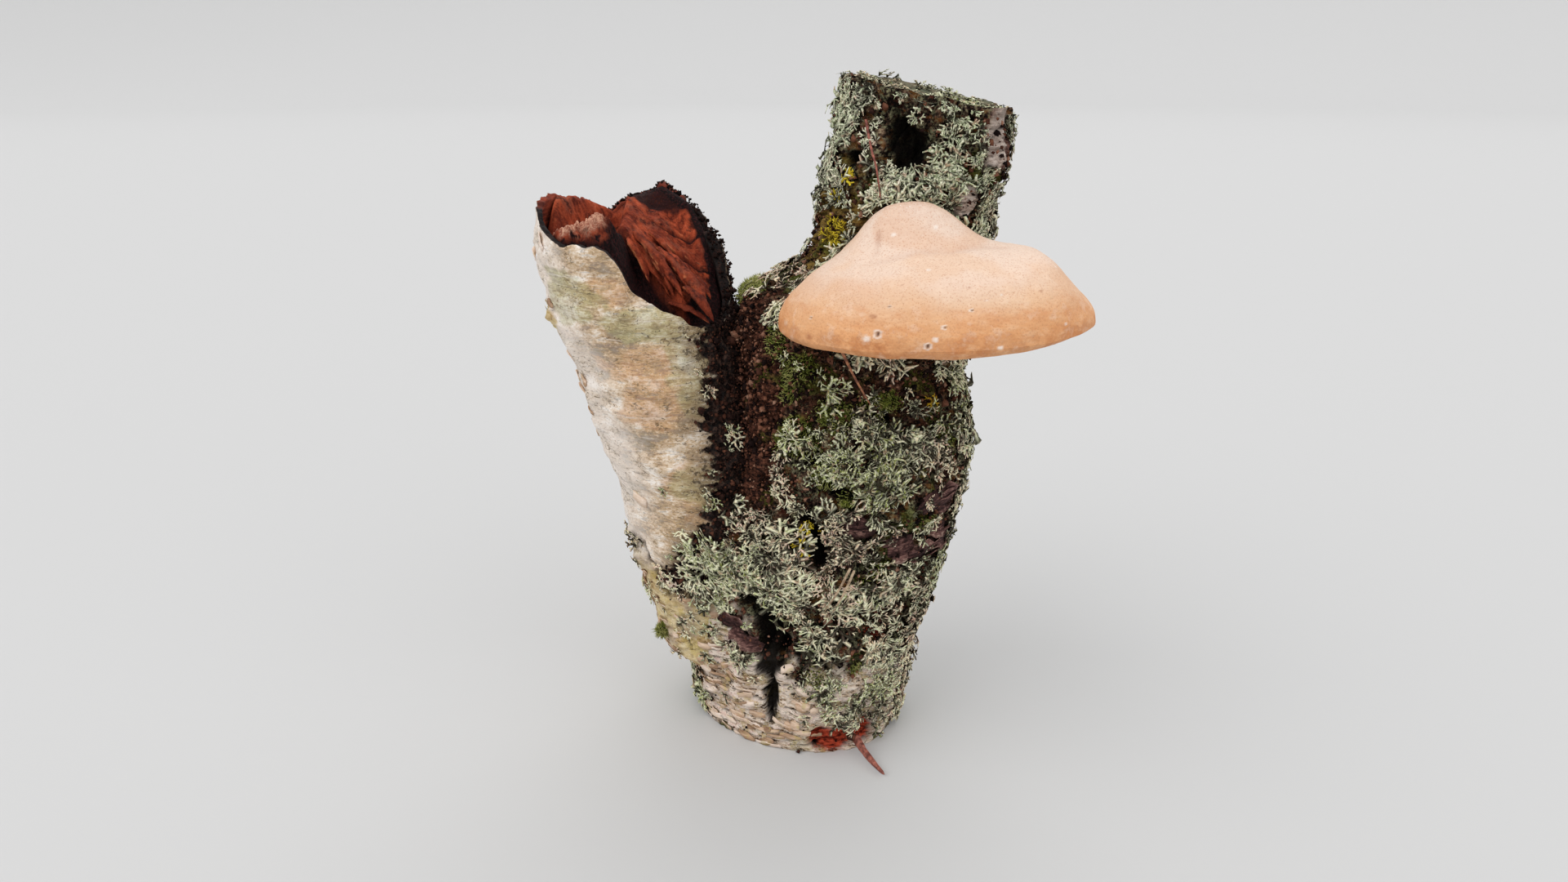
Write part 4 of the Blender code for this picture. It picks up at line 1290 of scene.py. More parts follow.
def limb_masks(points, angle):
    """Colour masks of the limb's outer bark."""
    ragged = shaken(points, 1.2, 4, 95)
    shade = smooth(near_marks(ragged, LIMB_FISSURES), 0.3, 0.8)
    turned = np.mod(np.degrees(angle) - CRUST_BACK, 360) - 360 + CRUST_BACK
    front = np.interp(points[..., 2], *np.transpose(CRUST_FRONT))
    behind = CRUST_BACK - 16 - turned + 26 * noise(points, 30, 99, 3)
    inside = np.minimum(turned - front, behind) * 0.73
    leaning = points + np.array([0, 0, 1]) * (0.2 * points[..., :1])
    frayed = 3.5 * noise(points, 16, 82, 3) + 1.6 * noise(points, (5, 5, 3), 86, 2)
    frayed = frayed + 5.0 * noise(leaning, (14, 14, 2.4), 96, 3)
    low = 1 - smooth(points[..., 2] + 12 * noise(points, 20, 87, 3), 66, 108)
    beside = smooth(inside + frayed + 6 * noise(points, 12, 94, 2), -20, -4)
    above_foot = smooth(points[..., 2] + 7 * noise(points, 12, 97, 2), 78, 90)
    _, number = sheets(points, 5.0, 98)
    return {
        "orange": strongest(points, LIMB_ORANGE, 0.6), "green": strongest(points, LIMB_GREEN, 0.5),
        # white: paler bark and a painted highlight on the limb's left side.
        "white": smooth(-np.cos(angle) + 0.25 * noise(points, 30, 88, 2), 0.35, 0.95),
        "yellow": np.maximum(strongest(points, LIMB_YELLOW, 0.5), low * 0.9),
        "crust": smooth(inside + frayed, -5.5, -0.5) * above_foot, "torn": np.zeros_like(angle),
        "fringe": beside * above_foot, "sheet": number, "shade": np.max(shade, 0) * 0.93,
    }


def limb_skin(angle, height):
    """Outer bark of the limb: gentle rings, papery steps, flaps, fissures and a crust at the fork."""
    plain = limb_point(angle, height)
    masks = limb_masks(plain, angle)
    lift = limb_relief(plain)
    leaning = plain + np.array([0, 0, 1]) * (0.16 * plain[..., :1])
    steps = noise(leaning, (34, 34, 9), 80, 4)
    lift = lift + 0.5 * smooth(steps, 0.1, 0.14) + 0.3 * smooth(steps, -0.3, -0.26)
    lift = lift + 0.3 * noise(leaning, (26, 26, 3.2), 81, 3) + 0.2 * noise(plain, 4, 83, 3)
    for start, end, half_width, rise in (LIMB_BUMP, *LIMB_FLAPS, *LIMB_FISSURES):
        lift = lift + rise * near_line(plain, start, end, half_width)
    lift = lift + masks["crust"] * (1.9 * noise(plain, (5, 5, 7), 84, 4) - 1.2)
    along, _ = sheets(plain, 5.0, 98)
    lift = lift + masks["yellow"] * (1.5 * (1 - along) - 0.7 + 0.5 * noise(plain, 3, 89, 3))
    return plain + outward(angle) * (lift - 0.6)[..., None], masks


# How much higher or lower the torn edge is than the solid's, at the front.
RIM_STEPS = (
    (252, 0), (258, 2.2), (263, 4.2), (268, 4), (271, 2.5), (274, -2.8), (278, -3.2), (285, -1.5),
    (290, -1.9), (295, -0.6), (300, 1), (304, -1.3), (312, -0.8), (325, 0),
)


def torn_rim(angle):
    """Height of the limb's edge with its steps and small teeth, rougher where the crust is."""
    ring = outward(angle) * 40
    rough = smooth(np.cos(angle - 1.5), -0.6, 0.2)
    teeth = 1.2 * noise(ring, 9, 90, 2) + (0.6 + 1.8 * rough) * noise(ring, 2.4, 91, 3)
    steps = np.interp(np.degrees(np.mod(angle, 2 * math.pi)), *np.transpose(RIM_STEPS))
    return rim_height(angle) + steps + teeth - 0.6


class BARK_OT_limb(bpy.types.Operator):
    """Birch bark of the broken limb, its torn rim and the wall of its hollow"""
    bl_idname = "bracket.limb"
    bl_label = "Broken limb"

    def execute(self, context):
        chosen = context.scene.bracket_limb
        angle = around(chosen.columns)
        rim = torn_rim(angle)
        share = np.linspace(0, 1, chosen.rows)[:, None]
        height = LIMB_FOOT + (rim - LIMB_FOOT) * share
        angle = np.broadcast_to(angle, height.shape)
        side = limb_skin(angle, height)
        inward = np.array([0.12, 0.3, 0.5, 0.72, 0.9])[:, None] + 0 * rim
        turned = angle[0] + 0 * inward
        edge = limb_point(turned, rim - 0.6 * inward, limb_wall(turned, rim) * inward)
        edge[..., 2] += 0.7 * noise(edge, 3, 92, 2) * 4 * inward * (1 - inward)
        edge = edge + (side[0][-1] - limb_point(angle[0], rim)) * (1 - inward)[..., None]
        depth = np.linspace(0, 1, 40)[:, None]
        down = rim - 1 + (POCKET_FLOOR - rim + 1) * depth
        inner = limb_point(np.broadcast_to(angle[0], down.shape), down, limb_wall(angle[0], down))
        rows = np.concatenate([edge, inner])
        torn = {label: np.zeros(rows.shape[:2]) for label in side[1]}
        torn["torn"][:] = 1
        red_side = np.cos(angle[0] - math.radians(125)) + 0.15 * noise(rows, 6, 93, 2)
        torn["orange"][:] = smooth(red_side, 0.3, 0.6)
        rings, masks = stacked([side, (rows, torn)])
        mesh = closed_skin("limb_bark", rings, **masks)
        dress(mesh, birch_material(), ["broken_limb"])
        return {"FINISHED"}


# Cracks across the block: slope, Y at the limb's middle, and the step up behind each.
HEART_STEPS = ((0.31, 9.7, 1.3), (0.33, -1.3, 2.2), (0.3, -10.0, 1.3))
BLOCK_TOP = 257.5
BLOCK_NORMAL = np.array([0.616, -0.276, 0.737])
HEART_LEVEL = 222.0  # the height at which the limb's hollow gives the wood its outline
HEART_MIDDLE = 228.0  # the height at which the limb's middle is taken
HEART_ROOM = 0.65  # between the wood and the wall of the hollow


def heart_height(x, y, angle, share):
    """The broken face: a sloping block that steps down at its cracks, a gap, a hollow and a lump.

    x and y are from the limb's middle, and the block is a plane cut off by the limb's own edge.
    """
    rim = rim_height(angle) - 1
    place = np.stack([x, y, 0 * x], -1)
    block = smooth(x + 1.5 * noise(place, 7, 109, 3), *HEART_BLOCK_EDGE)
    face = HEART_FACE[0] + HEART_FACE[1] * x + HEART_FACE[2] * y
    split, ledge = np.zeros_like(x), np.zeros_like(x)
    for k, (slope, level, drop) in enumerate(HEART_STEPS):
        past = y - slope * x - level + 1.6 * noise(place, 9, 110 + k, 4)
        right = smooth(x + 2 * noise(place, 6, 116, 2), 4, 12)
        face = face + right * drop * (smooth(past, -0.4, 0.4) - 0.5)
        split = np.maximum(split, np.exp(-(((past + 0.5) / 0.4) ** 2)) * right)
        ledge = np.maximum(ledge, np.exp(-(((past - 0.5) / 0.5) ** 2)) * right)
    face = np.minimum(face, BLOCK_TOP + 1.2 * noise(place, 5, 117, 3))
    height = HEART_HOLLOW + (face - HEART_HOLLOW) * block
    gap = block * smooth(HEART_GAP[0] + HEART_GAP[1] * x - y, 0, 5)
    height = height - HEART_GAP[2] * gap
    middle_x, middle_y, half_x, half_y, rise = HEART_LUMP
    crooked = y - middle_y - 1 + 3.5 * noise(place, 9, 118, 3)
    lump = np.exp(-(((x - middle_x + 4) / (half_x + 6)) ** 6) - np.abs(crooked / half_y) ** 3)
    crest = 0.3 * (x - middle_x) + 3.5 * noise(place, 6, 115, 4) + 3 * np.abs(noise(place, 3.5, 119, 3)) - 1
    height = height + (rise - 1 + crest) * lump
    behind = smooth(np.sin(angle - 0.2), -0.1, 0.5)
    lining = smooth(share, 0.72, 0.97) * behind
    height = height + (rim - height) * lining
    height = np.minimum(height, rim + HEART_STANDS * (1 - share))
    return height, {
        "block": block, "gap": gap, "lump": lump, "lining": lining, "split": split * block,
        "ledge": ledge * block,
    }


# Root, point, width and height above the block of each splinter.
SPLINTERS = (
    ((-79, -7, 246), (-57, -21, 219), 6.0, 0.4), ((-74, -8, 245), (-52, -23, 219), 6.5, 1.4),
    ((-68, 1.5, 244), (-57, -3.5, 233), 4.5, 0.2), ((-55, -7, 230), (-41, -28, 212), 7.5, 1.8),
    ((-67, -14, 236), (-56, -22, 218), 5.0, 1.6), ((-52, -20, 222.5), (-39, -30.5, 209.5), 6.0, 2.2),
    ((-64, -6, 238), (-50, -18, 222), 5.5, 1.0), ((-60, -2, 236), (-47, -13, 223), 4.5, 0.4),
    ((-58, -22, 217), (-40, -30, 209.5), 5.0, 0.8), ((-76, -12, 243), (-66, -22, 226), 5.0, 0.4),
    ((-70, -12, 240), (-60, -20, 226), 4.5, 1.8), ((-50, -6, 227), (-40, -16, 217), 4.0, 0.6),
)
# Painted shade behind the wood and at its lowest corner, each a middle and half sizes.
PAINTED_SHADE_BEHIND = ((-68, 28, 256), (17, 12, 8))
PAINTED_SHADE_LOW = ((-38, -16, 214), (12, 16, 14))


def splinter(start, end, width, above, seed):
    """A flat spear: a lens-shaped section that widens from a blunt root and runs out to a point."""
    t = np.linspace(0, 1, 26)[:, None]
    turn = around(12)
    run = np.subtract(end, start)
    across = np.cross(BLOCK_NORMAL, run) / np.linalg.norm(run)
    wide = width / 2 * np.sin(np.pi * np.clip(t * 0.86 + 0.13, 0, 1)) ** 0.8
    middle = start + t * run + BLOCK_NORMAL * (above + 1.6 * np.sin(np.pi * t))
    ragged = 1 + 0.45 * noise(middle[:, None] + 2.5 * turn[:, None], 3, seed, 3)
    side = (np.cos(turn) * wide * ragged)[..., None] * across
    rise = (np.sin(turn) * wide * 0.5 * ragged)[..., None] * BLOCK_NORMAL
    # Painted highlight along the splinter's two side edges, where the noise allows.
    edge = 0.7 * np.abs(np.cos(turn)) ** 5 * smooth(noise(middle, 5, seed + 1, 2), -0.2, 0.3)[:, None]
    return middle[:, None] + side + rise, edge


class BARK_OT_heart(bpy.types.Operator):
    """Rotted heartwood: a cracked, splintery face in the hollow of the limb"""
    bl_idname = "bracket.heart"
    bl_label = "Rotted heartwood"

    def execute(self, context):
        columns = 360
        angle = around(columns)
        floor = POCKET_FLOOR + 0.5
        middle = table(LIMB_SECTIONS, np.array(HEART_MIDDLE))[:2]
        shrink = limb_wall(angle, HEART_LEVEL) + HEART_ROOM
        flat = limb_point(angle, np.full(columns, HEART_LEVEL), shrink)[:, :2] - middle
        share = np.concatenate([[1.0, 0.995, 0.985], np.linspace(0.97, 0.03, 190)])[:, None] + 0 * angle
        x, y = flat[:, 0] * share, flat[:, 1] * share
        height, forms = heart_height(x, y, angle + 0 * x, share)
        block, gap, lump, lining = (forms[label] for label in ("block", "gap", "lump", "lining"))
        spots = np.stack([x + middle[0], y + middle[1], height], -1)
        rough = noise(spots, 4, 107, 4)
        slope = noise(spots, (5, 5, 14), 103, 3)
        lift = block * (0.5 * rough + 0.7 * slope - 0.8 * forms["split"]) + (1 - block) * 1.1 * rough
        inside = smooth(1 - share, 0.0, 0.05)
        top = np.maximum(height + lift * inside, floor + 1)
        rings = np.concatenate([spots[..., :2], top[..., None]], -1)
        skirt = np.linspace(0, 1, 14)[:-1, None]
        level = floor + (rings[0, :, 2] - floor) * skirt
        turned = angle + 0 * level
        side = limb_point(turned, level, limb_wall(turned, level) + HEART_ROOM)
        foot_of_lump = lump * (1 - smooth(height + 1.5 * rough, 241, 248))
        void = (1 - block) * (1 - lining) * (1 - lump) * smooth(-y, -2, 8)
        wall_side = smooth(share, 0.9, 1.0) * smooth(np.cos(angle + 0 * x), 0, 0.4)
        above = blob(spots, *PAINTED_SHADE_BEHIND, 0.4) * 0.75
        hood = smooth(share + 0.05 * rough, 0.86, 0.95) * smooth(x, -14, -4) * smooth(y + x, 0, 10)
        holes = lump * smooth(noise(spots, 3.2, 127, 2), 0.18, 0.4) * (1 - smooth(height, 246, 252))
        corner = blob(spots, *PAINTED_SHADE_LOW, 0.4) * 0.8
        # Painted shade: in the gap and cracks, beside the wall, at the lump's foot, in the hollow and the
        # lump's holes, behind the wood and at its lowest corner, and a dark band along the back rim.
        damp = gap + 0.9 * forms["split"] + 0.8 * wall_side + 0.8 * foot_of_lump
        damp = damp + void + above + corner + hood + holes
        # Painted highlight on the ledge behind each crack, and paler wood at random; pale is a painted
        # highlight on the lump's top.
        edge = 0.7 * forms["ledge"] * smooth(rough, -0.3, 0.4) + 0.3 * smooth(rough, 0.3, 0.7)
        pale = lump * smooth(height + 5 * rough, 245, 251) * smooth(-x + 3 * rough, 6, 12) * 0.9
        masks = {"edge": np.clip(edge, 0, 1), "pale": pale, "damp": np.clip(damp, 0, 1)}
        # The wood's sides, down in the hollow, are painted in full shade.
        dark = {label: np.full(side.shape[:2], float(label == "damp")) for label in masks}
        rings, masks = stacked([(side, dark), (rings, masks)])
        material = rotted_material()
        dress(closed_skin("rotted_heart", rings, **masks), material, ["rotted_heartwood"])
        for k, row in enumerate(SPLINTERS):
            rings, edge = splinter(*row, 160 + k)
            darker_by_chance = 0.45 * chance(np.array([k, 3, 5]), 9) + 0 * edge
            mesh = closed_skin(f"heart_splinter_{k + 1}", rings, edge=edge, pale=0 * edge, damp=darker_by_chance)
            dress(mesh, material)
        return {"FINISHED"}


# Place on the cap, radius and depth; the rim of each pit is paler.
PITS = (
    ((46.1, -88.8, 245), 0.8, 0.6), ((26.7, -105.1, 224.3), 1.25, 1.0), ((44.3, -109.4, 220.9), 1.0, 0.9),
    ((50, -108.5, 227.6), 0.7, 0.5), ((60.1, -105.3, 233.4), 0.6, 0.5), ((31.1, -101.8, 233.5), 0.5, 0.4),
    ((2.8, -88.3, 226.4), 0.5, 0.4), ((95.9, -96.8, 226), 0.55, 0.4), ((96, -75.5, 242.5), 0.6, 0.4),
    ((72, -42, 250), 0.8, 0.6), ((16, -48, 246), 0.6, 0.4), ((84, -50, 247), 0.6, 0.4),
)
# Place on the cap and radius.
BROWN_SPOTS = (
    ((25.3, -102.2, 230), 1.5), ((6.2, -75.5, 237.4), 1.6), ((50.4, -60, 259.4), 1.2),
    ((87.1, -94.3, 237.6), 1.3), ((2.2, -90.1, 219.3), 1.2), ((27.1, -106, 219.1), 1.1),
    ((13, -98, 222), 0.9), ((76, -105, 226), 0.9), ((60, -98, 240), 0.8), ((36, -96, 240), 0.8),
)
PALE_SPOTS = (
    ((22.7, -104.1, 222.3), 1.7), ((51.5, -64.8, 256.6), 1.8), ((35.2, -67, 253.8), 1.5),
    ((41, -73.2, 251.1), 1.6), ((47.1, -109.3, 223.6), 1.2), ((70.7, -108.2, 220), 1.4),
    ((65.7, -102.4, 236.4), 0.8), ((71.9, -99.8, 237.9), 0.9), ((89, -88.9, 240.1), 1.0),
    ((46, -69, 254.5), 0.9), ((56, -70, 253), 0.8), ((33, -71, 251.5), 0.8), ((83, -92, 239.5), 0.8),
)
# Narrow creases and broad folds of the dome, each from, to and half width.
CREASES = (((29.5, -63, 254), (27.5, -71, 249), 1.1), ((27.5, -71, 249), (24.5, -75, 247), 1.3))
FOLDS = (((24, -77, 246), (55, -75.5, 250), 2.2), ((55, -75.5, 250), (78, -64, 249.5), 2.6))

# The finished skin follows the photographed outline a little closer than the plain solid does.
SKIN_DOME = 30.1
SKIN_HUMP = 16.8
SKIN_HUMP_X = 39.7
SKIN_HUMP_WIDTHS = (13.1, 17.0)  # towards -X and towards +X
SKIN_HUMP_EDGE = 1.46
SKIN_DROOP = (0.11, 0.23)  # how much lower the dome is at its left and right ends
SKIN_SHOULDER = (94.8, 13.4, 0.089)  # X, spread and rise
SKIN_UNDERSIDE = (4.4, 3.0)  # depth below the rim, and how much less it is at the right


def cap_surface(direction, rise):
    """Dome and underside of the bracket, from its compass direction and its rise from -1 to 1."""
    c, s = np.cos(direction), np.sin(direction)
    reach_y = np.where(s < 0, CAP_REACH_FRONT, CAP_REACH_BACK)
    power = CAP_OUTLINE_POWER
    reach = (np.abs(c / CAP_HALF_WIDTH) ** power + np.abs(s / reach_y) ** power) ** (-1 / power)
    spread = np.minimum(np.cos(rise * math.pi / 2) ** CAP_FULLNESS, 1)
    x = CAP_CENTRE[0] + c * reach * spread
    y = CAP_CENTRE[1] + s * reach * spread
    rim = CAP_RIM_LEVEL + CAP_RIM_SLOPE * (x - CAP_CENTRE[0])
    away_x = (x - SKIN_HUMP_X) / np.where(x < SKIN_HUMP_X, *SKIN_HUMP_WIDTHS)
    away_y = np.where(y < CAP_HUMP_Y, (y - CAP_HUMP_Y) / CAP_HUMP_SPREAD_Y, 0)
    hump = np.exp(-(((away_x**2 + away_y**2) / 2.3) ** SKIN_HUMP_EDGE))
    side = (x - CAP_CENTRE[0]) / CAP_HALF_WIDTH
    fuller = SKIN_SHOULDER[2] * np.exp(-(((x - SKIN_SHOULDER[0]) / SKIN_SHOULDER[1]) ** 2))
    fuller = fuller - SKIN_DROOP[0] * smooth(-side, 0.45, 1) - SKIN_DROOP[1] * smooth(side, 0.6, 1)
    over = rim + SKIN_DOME * (1 + fuller) * (1 - spread**CAP_DOME_POWER) ** (1 / CAP_DOME_POWER)
    over = over + SKIN_HUMP * hump * (1 - spread**6)
    below = SKIN_UNDERSIDE[0] - SKIN_UNDERSIDE[1] * smooth(side, 0.2, 0.85)
    under = rim - below * (1 - spread**CAP_UNDERSIDE_POWER) ** 0.5
    z = np.where(rise >= 0, over, under)
    return np.stack([x, y, z], -1), spread, hump


class BARK_OT_cap(bpy.types.Operator):
    """The bracket: leathery dome with pits and faint zones, rolled margin and pore surface"""
    bl_idname = "bracket.cap"
    bl_label = "Bracket cap"

    def execute(self, context):
        chosen = context.scene.bracket_fungus
        below = chosen.rows // 4
        under = -np.linspace(0.985, 0, below, endpoint=False) ** 1.25
        over = np.linspace(0, 0.985, chosen.rows - below) ** 1.15
        rise = np.concatenate([under, over])[:, None] + np.zeros(chosen.columns)
        direction = around(chosen.columns) + 0 * rise
        points, spread, hump = cap_surface(direction, rise)
        top = (rise >= 0).astype(float)
        normal = facing(points)[0]
        lift = 0.7 * noise(points, 26, 120, 2) + 0.3 * noise(points, 8, 121, 3)
        ripple = np.sin(spread * 26 + 2.5 * noise(points, 30, 122, 2))
        lift = lift + 0.22 * top * ripple * smooth(spread, 0.4, 0.7)
        dark, pale, brown = (np.zeros_like(rise) for _ in range(3))
        for place, radius, depth in PITS:
            away = np.linalg.norm(points - place, axis=-1) / radius + 0.12 * noise(points, 1.2, 125, 2)
            dip = np.exp(-((away / 0.7) ** 4))
            lip = np.exp(-(((away - 1.1) / 0.3) ** 2))
            lift = lift - depth * dip + 0.15 * lip
            # Painted shade at the bottom of each pit.
            dark = np.maximum(dark, dip * 0.9)
            pale = np.maximum(pale, 0.7 * lip)
        for spots, layer, strength in ((BROWN_SPOTS, brown, 0.45), (PALE_SPOTS, pale, 0.75)):
            for place, radius in spots:
                away = np.linalg.norm(points - place, axis=-1) + 0.6 * noise(points, 2, 123, 2)
                layer[:] = np.maximum(layer, strength * (1 - smooth(away, radius * 0.4, radius)))
        crease, fold = (np.max(near_marks(points, marks), 0) * top for marks in (CREASES, FOLDS))
        lift = lift - 0.9 * crease - 0.5 * fold
        # Painted shade, brownish, along the creases and folds, on top of the brown spots.
        brown = np.maximum(brown, 0.3 * crease + 0.14 * fold)
        pores = (1 - top) * (1 - smooth(spread, 0.86, 0.9))
        lift = lift - pores * 1.6 + (1 - top) * 0.8 * np.exp(-(((spread - 0.94) / 0.03) ** 2))
        points = points + normal * lift[..., None]
        bands = np.sin(spread * 10 - 0.8 + 1.3 * noise(points, 24, 124, 2))
        masks = {
            "margin": np.where(rise >= 0, spread**3, 1.0), "hump": hump * top,
            "zone": top * smooth(bands, 0.2, 0.95), "pale": pale, "brown": brown, "dark": dark,
            "pores": pores,
        }
        mesh = closed_skin("bracket_skin", points, **masks)
        dress(mesh, cap_material(), ["bracket_cap"])
        return {"FINISHED"}


def trunk_carrier(low, high, rows=110):
    """Coarse grid of the trunk's or stem's bark between two heights."""
    angle, height = grid(low, high, rows, 150)
    plain, out = trunk_plain(angle, height)
    cover = lichen_cover(plain)
    sink = bark_depth(smooth(cover, 0.1, 0.5), strongest(plain, PAPERY_AREAS))
    return Carrier(plain + out * (bark_lumps(plain) - sink)[..., None], cover), angle, plain


# Areas where small lichens, tufts on the limb, and golden lichen grow, each a middle and half sizes.
SMALL_AREAS = (
    ((36, -44, 22), (34, 26, 24)), ((55, 0, 30), (30, 60, 40)), ((-12, 2, 226), (14, 16, 7)),
    ((8, -52, 166), (26, 14, 26)), ((22, -54, 188), (34, 14, 16)),
)
LIMB_TUFTS = (
    ((-39, -37, 181), (5, 6, 4)), ((-33, -36, 161), (6, 6, 7)), ((-44, -40, 132), (6, 6, 5)),
    ((-80, -12, 100), (5, 9, 5)), ((-78, -14, 90), (5, 9, 4)), ((-70, -14, 74), (4, 8, 4)),
)
LIMB_ROOT = ((-33, -40, 90), (22, 24, 22))
LIMB_SPILL = ((-46, -36, 92), (26, 24, 30))
GOLD_AREAS = (
    ((54.7, -44.8, 180.6), (2.2, 3, 2.2)), ((1.7, -50.8, 121.9), (2.4, 4, 2.6)),
    ((0, -53, 114.2), (2.2, 4, 2.4)), ((10.6, -54.2, 122.7), (2, 3, 1.6)),
    ((14.7, -29.1, 248.8), (4, 5, 7)), ((19.7, -28.8, 272.2), (2.5, 4, 4)),
    ((13, -24, 262), (3, 5, 5)), ((-52, -30, 60), (4, 6, 3)),
)


def crust_cover(points):
    """How densely the small lichens grow: mostly at the base's right and on the stem, thinly elsewhere."""
    spread = noise(points, 12, 23, 3)
    cover = 0.34 + 1.15 * spread
    for centre, radii in SMALL_AREAS:
        cover = np.maximum(cover, (0.42 + 1.1 * spread) * blob(points, centre, radii, 0.4))
    cover = np.clip(cover, 0, 1) * (1 - blob(points, *GULLY)) * (1 - 0.2 * blob(points, *UNDER_CAP))
    cover = cover * (1 - 0.86 * strongest(points, PAPERY_BASE[:2]))
    cover = cover * (1 - strongest(points, PAPERY_STEM)) * (1 - strongest(points, REDWOOD))
    cover = cover * (1 - 0.95 * plates(points)) * (1 - smooth(hollowed(points), 0.1, 0.35))
    return np.clip(cover * outside_others(points), 0, 1)


def limb_carrier():
    """Coarse grid of the limb's outer bark from its foot to just under its edge."""
    rows, columns = 80, 120
    angle = around(columns)
    height = 30 + (torn_rim(angle) - 32) * np.linspace(0, 1, rows)[:, None]
    return limb_skin(angle + 0 * height, height)


class BARK_OT_lichen(bpy.types.Operator):
    """Tufts of forking lichen on the trunk, the stem and the limb's edge"""
    bl_idname = "bracket.lichen"
    bl_label = "Lichen"

    def execute(self, context):
        chosen = context.scene.bracket_lichen
        usual = lichen_material("lichen", LICHEN_STOPS)
        greyer = lichen_material("stem_lichen", STEM_LICHEN_STOPS)
        carrier, angle, plain = trunk_carrier(3, TRUNK_TOP)
        stem, _, stem_plain = trunk_carrier(TRUNK_TOP, STEM_TOP, 50)
        at, cover = carrier.points, carrier.cover
        front = smooth(-np.sin(angle), -0.15, 0.05)
        low = smooth(plain[..., 2], 112, 108)
        small = crust_cover(plain)
        grains = np.clip(0.45 + 0.7 * noise(plain, 9, 24, 3), 0, 1) * outside_others(plain)
        grains = grains * (1 - smooth(hollowed(plain), 0.1, 0.35)) * (1 - 0.9 * blob(plain, *GULLY))
        grains = grains * (1 - 0.93 * strongest(plain, PAPERY_BASE + REDWOOD))
        stem_grains = 0.6 * outside_others(stem_plain) * (1 - smooth(hollowed(stem_plain), 0.08, 0.25))
        small_stem = np.clip(crust_cover(stem_plain) * 1.4 + 0.1, 0, 0.75) * outside_others(stem_plain)
        small_stem = small_stem * (1 - 0.8 * blob(stem_plain, *BARE_FLANK, 0.5))
        limb, masks = limb_carrier()
        edge = masks["crust"] * (1 - masks["crust"]) * 3 * smooth(limb[..., 2], 30, 60)
        root, spill = 0.8 * blob(limb, *LIMB_ROOT, 0.6), 0.5 * blob(limb, *LIMB_SPILL, 0.7)
        side = 0.3 * edge + 0.1 * masks["yellow"] + 0.012 * masks["green"]
        side = np.clip(side + strongest(limb, LIMB_TUFTS, 0.5) + spill, 0, 0.8)
        cut = sawn_disc(bark_surface(angle[:1], STEM_TOP + 0 * angle[:1])[0][0], DISC_SHARES[::-1])[0]
        on_cut = 0.55 * smooth(noise(cut, 14, 25, 3) - 0.012 * cut[..., 1], -0.1, 0.5)
        on_cut[:4] = np.maximum(on_cut[:4], smooth(-np.sin(angle[:1]), 0, 0.3))
        # Name, where and how densely, shares of the chosen spacing and size, forks, branches, tones.
        for name, points, dense, apart, scale, forks, branches, tones in (
            ("lichen_front_low", at, cover * front * low, 0.84, 1.0, 5, 4, (0.2, 1.0)),
            ("lichen_front_high", at, cover * front * (1 - low), 0.84, 1.0, 5, 4, (0.1, 0.9)),
            ("lichen_back", at, cover * (1 - front), 1.05, 1.1, 4, 5, (0.1, 0.95)),
            ("lichen_stem", stem.points, stem.cover, 0.75, 0.74, 4, 5, (0.1, 0.5)),
            ("lichen_limb", limb, root, 0.84, 0.95, 5, 4, (0.15, 0.9)),
            ("small_lichen_limb", limb, side, 0.7, 0.5, 3, 4, (0.0, 0.8)),
            ("small_lichen_front", at, small * front, 0.58, 0.6, 3, 4, (0.2, 1.0)),
            ("small_lichen_back", at, small * (1 - front), 0.812, 0.75, 3, 4, (0.2, 1.0)),
            ("small_lichen_stem", stem.points, small_stem, 0.58, 0.55, 3, 4, (0.1, 0.5)),
            ("small_lichen_cut", cut, on_cut, 0.493, 0.4, 3, 4, (0.1, 0.7)),
        ):
            spacing, size, seed = chosen.spacing * apart, chosen.size * scale, 200 + len(name)
            shapes = grow_lichen(Carrier(points, dense), spacing, size, seed, forks, branches, tones)
            scattered(name, shapes, greyer if "stem" in name else usual)
        for name, points, dense, seed in (
            ("bark_bits", at, grains, 230), ("stem_bits", stem.points, stem_grains, 231),
        ):
            bits = chunks(Carrier(points, dense), 2.1, 0.8, seed, (-0.3, 0.7))
            scattered(name, bits, crumb_material())
        golden = gold_material()
        for name, points, dense in (
            ("gold_lichen", at, strongest(plain, GOLD_AREAS, 0.3)),
            ("gold_lichen_stem", stem.points, strongest(stem_plain, GOLD_AREAS, 0.5)),
        ):
            scattered(name, grow_lichen(Carrier(points, dense), 2.6, 0.42, 240, 3, 4), golden)
        return {"FINISHED"}


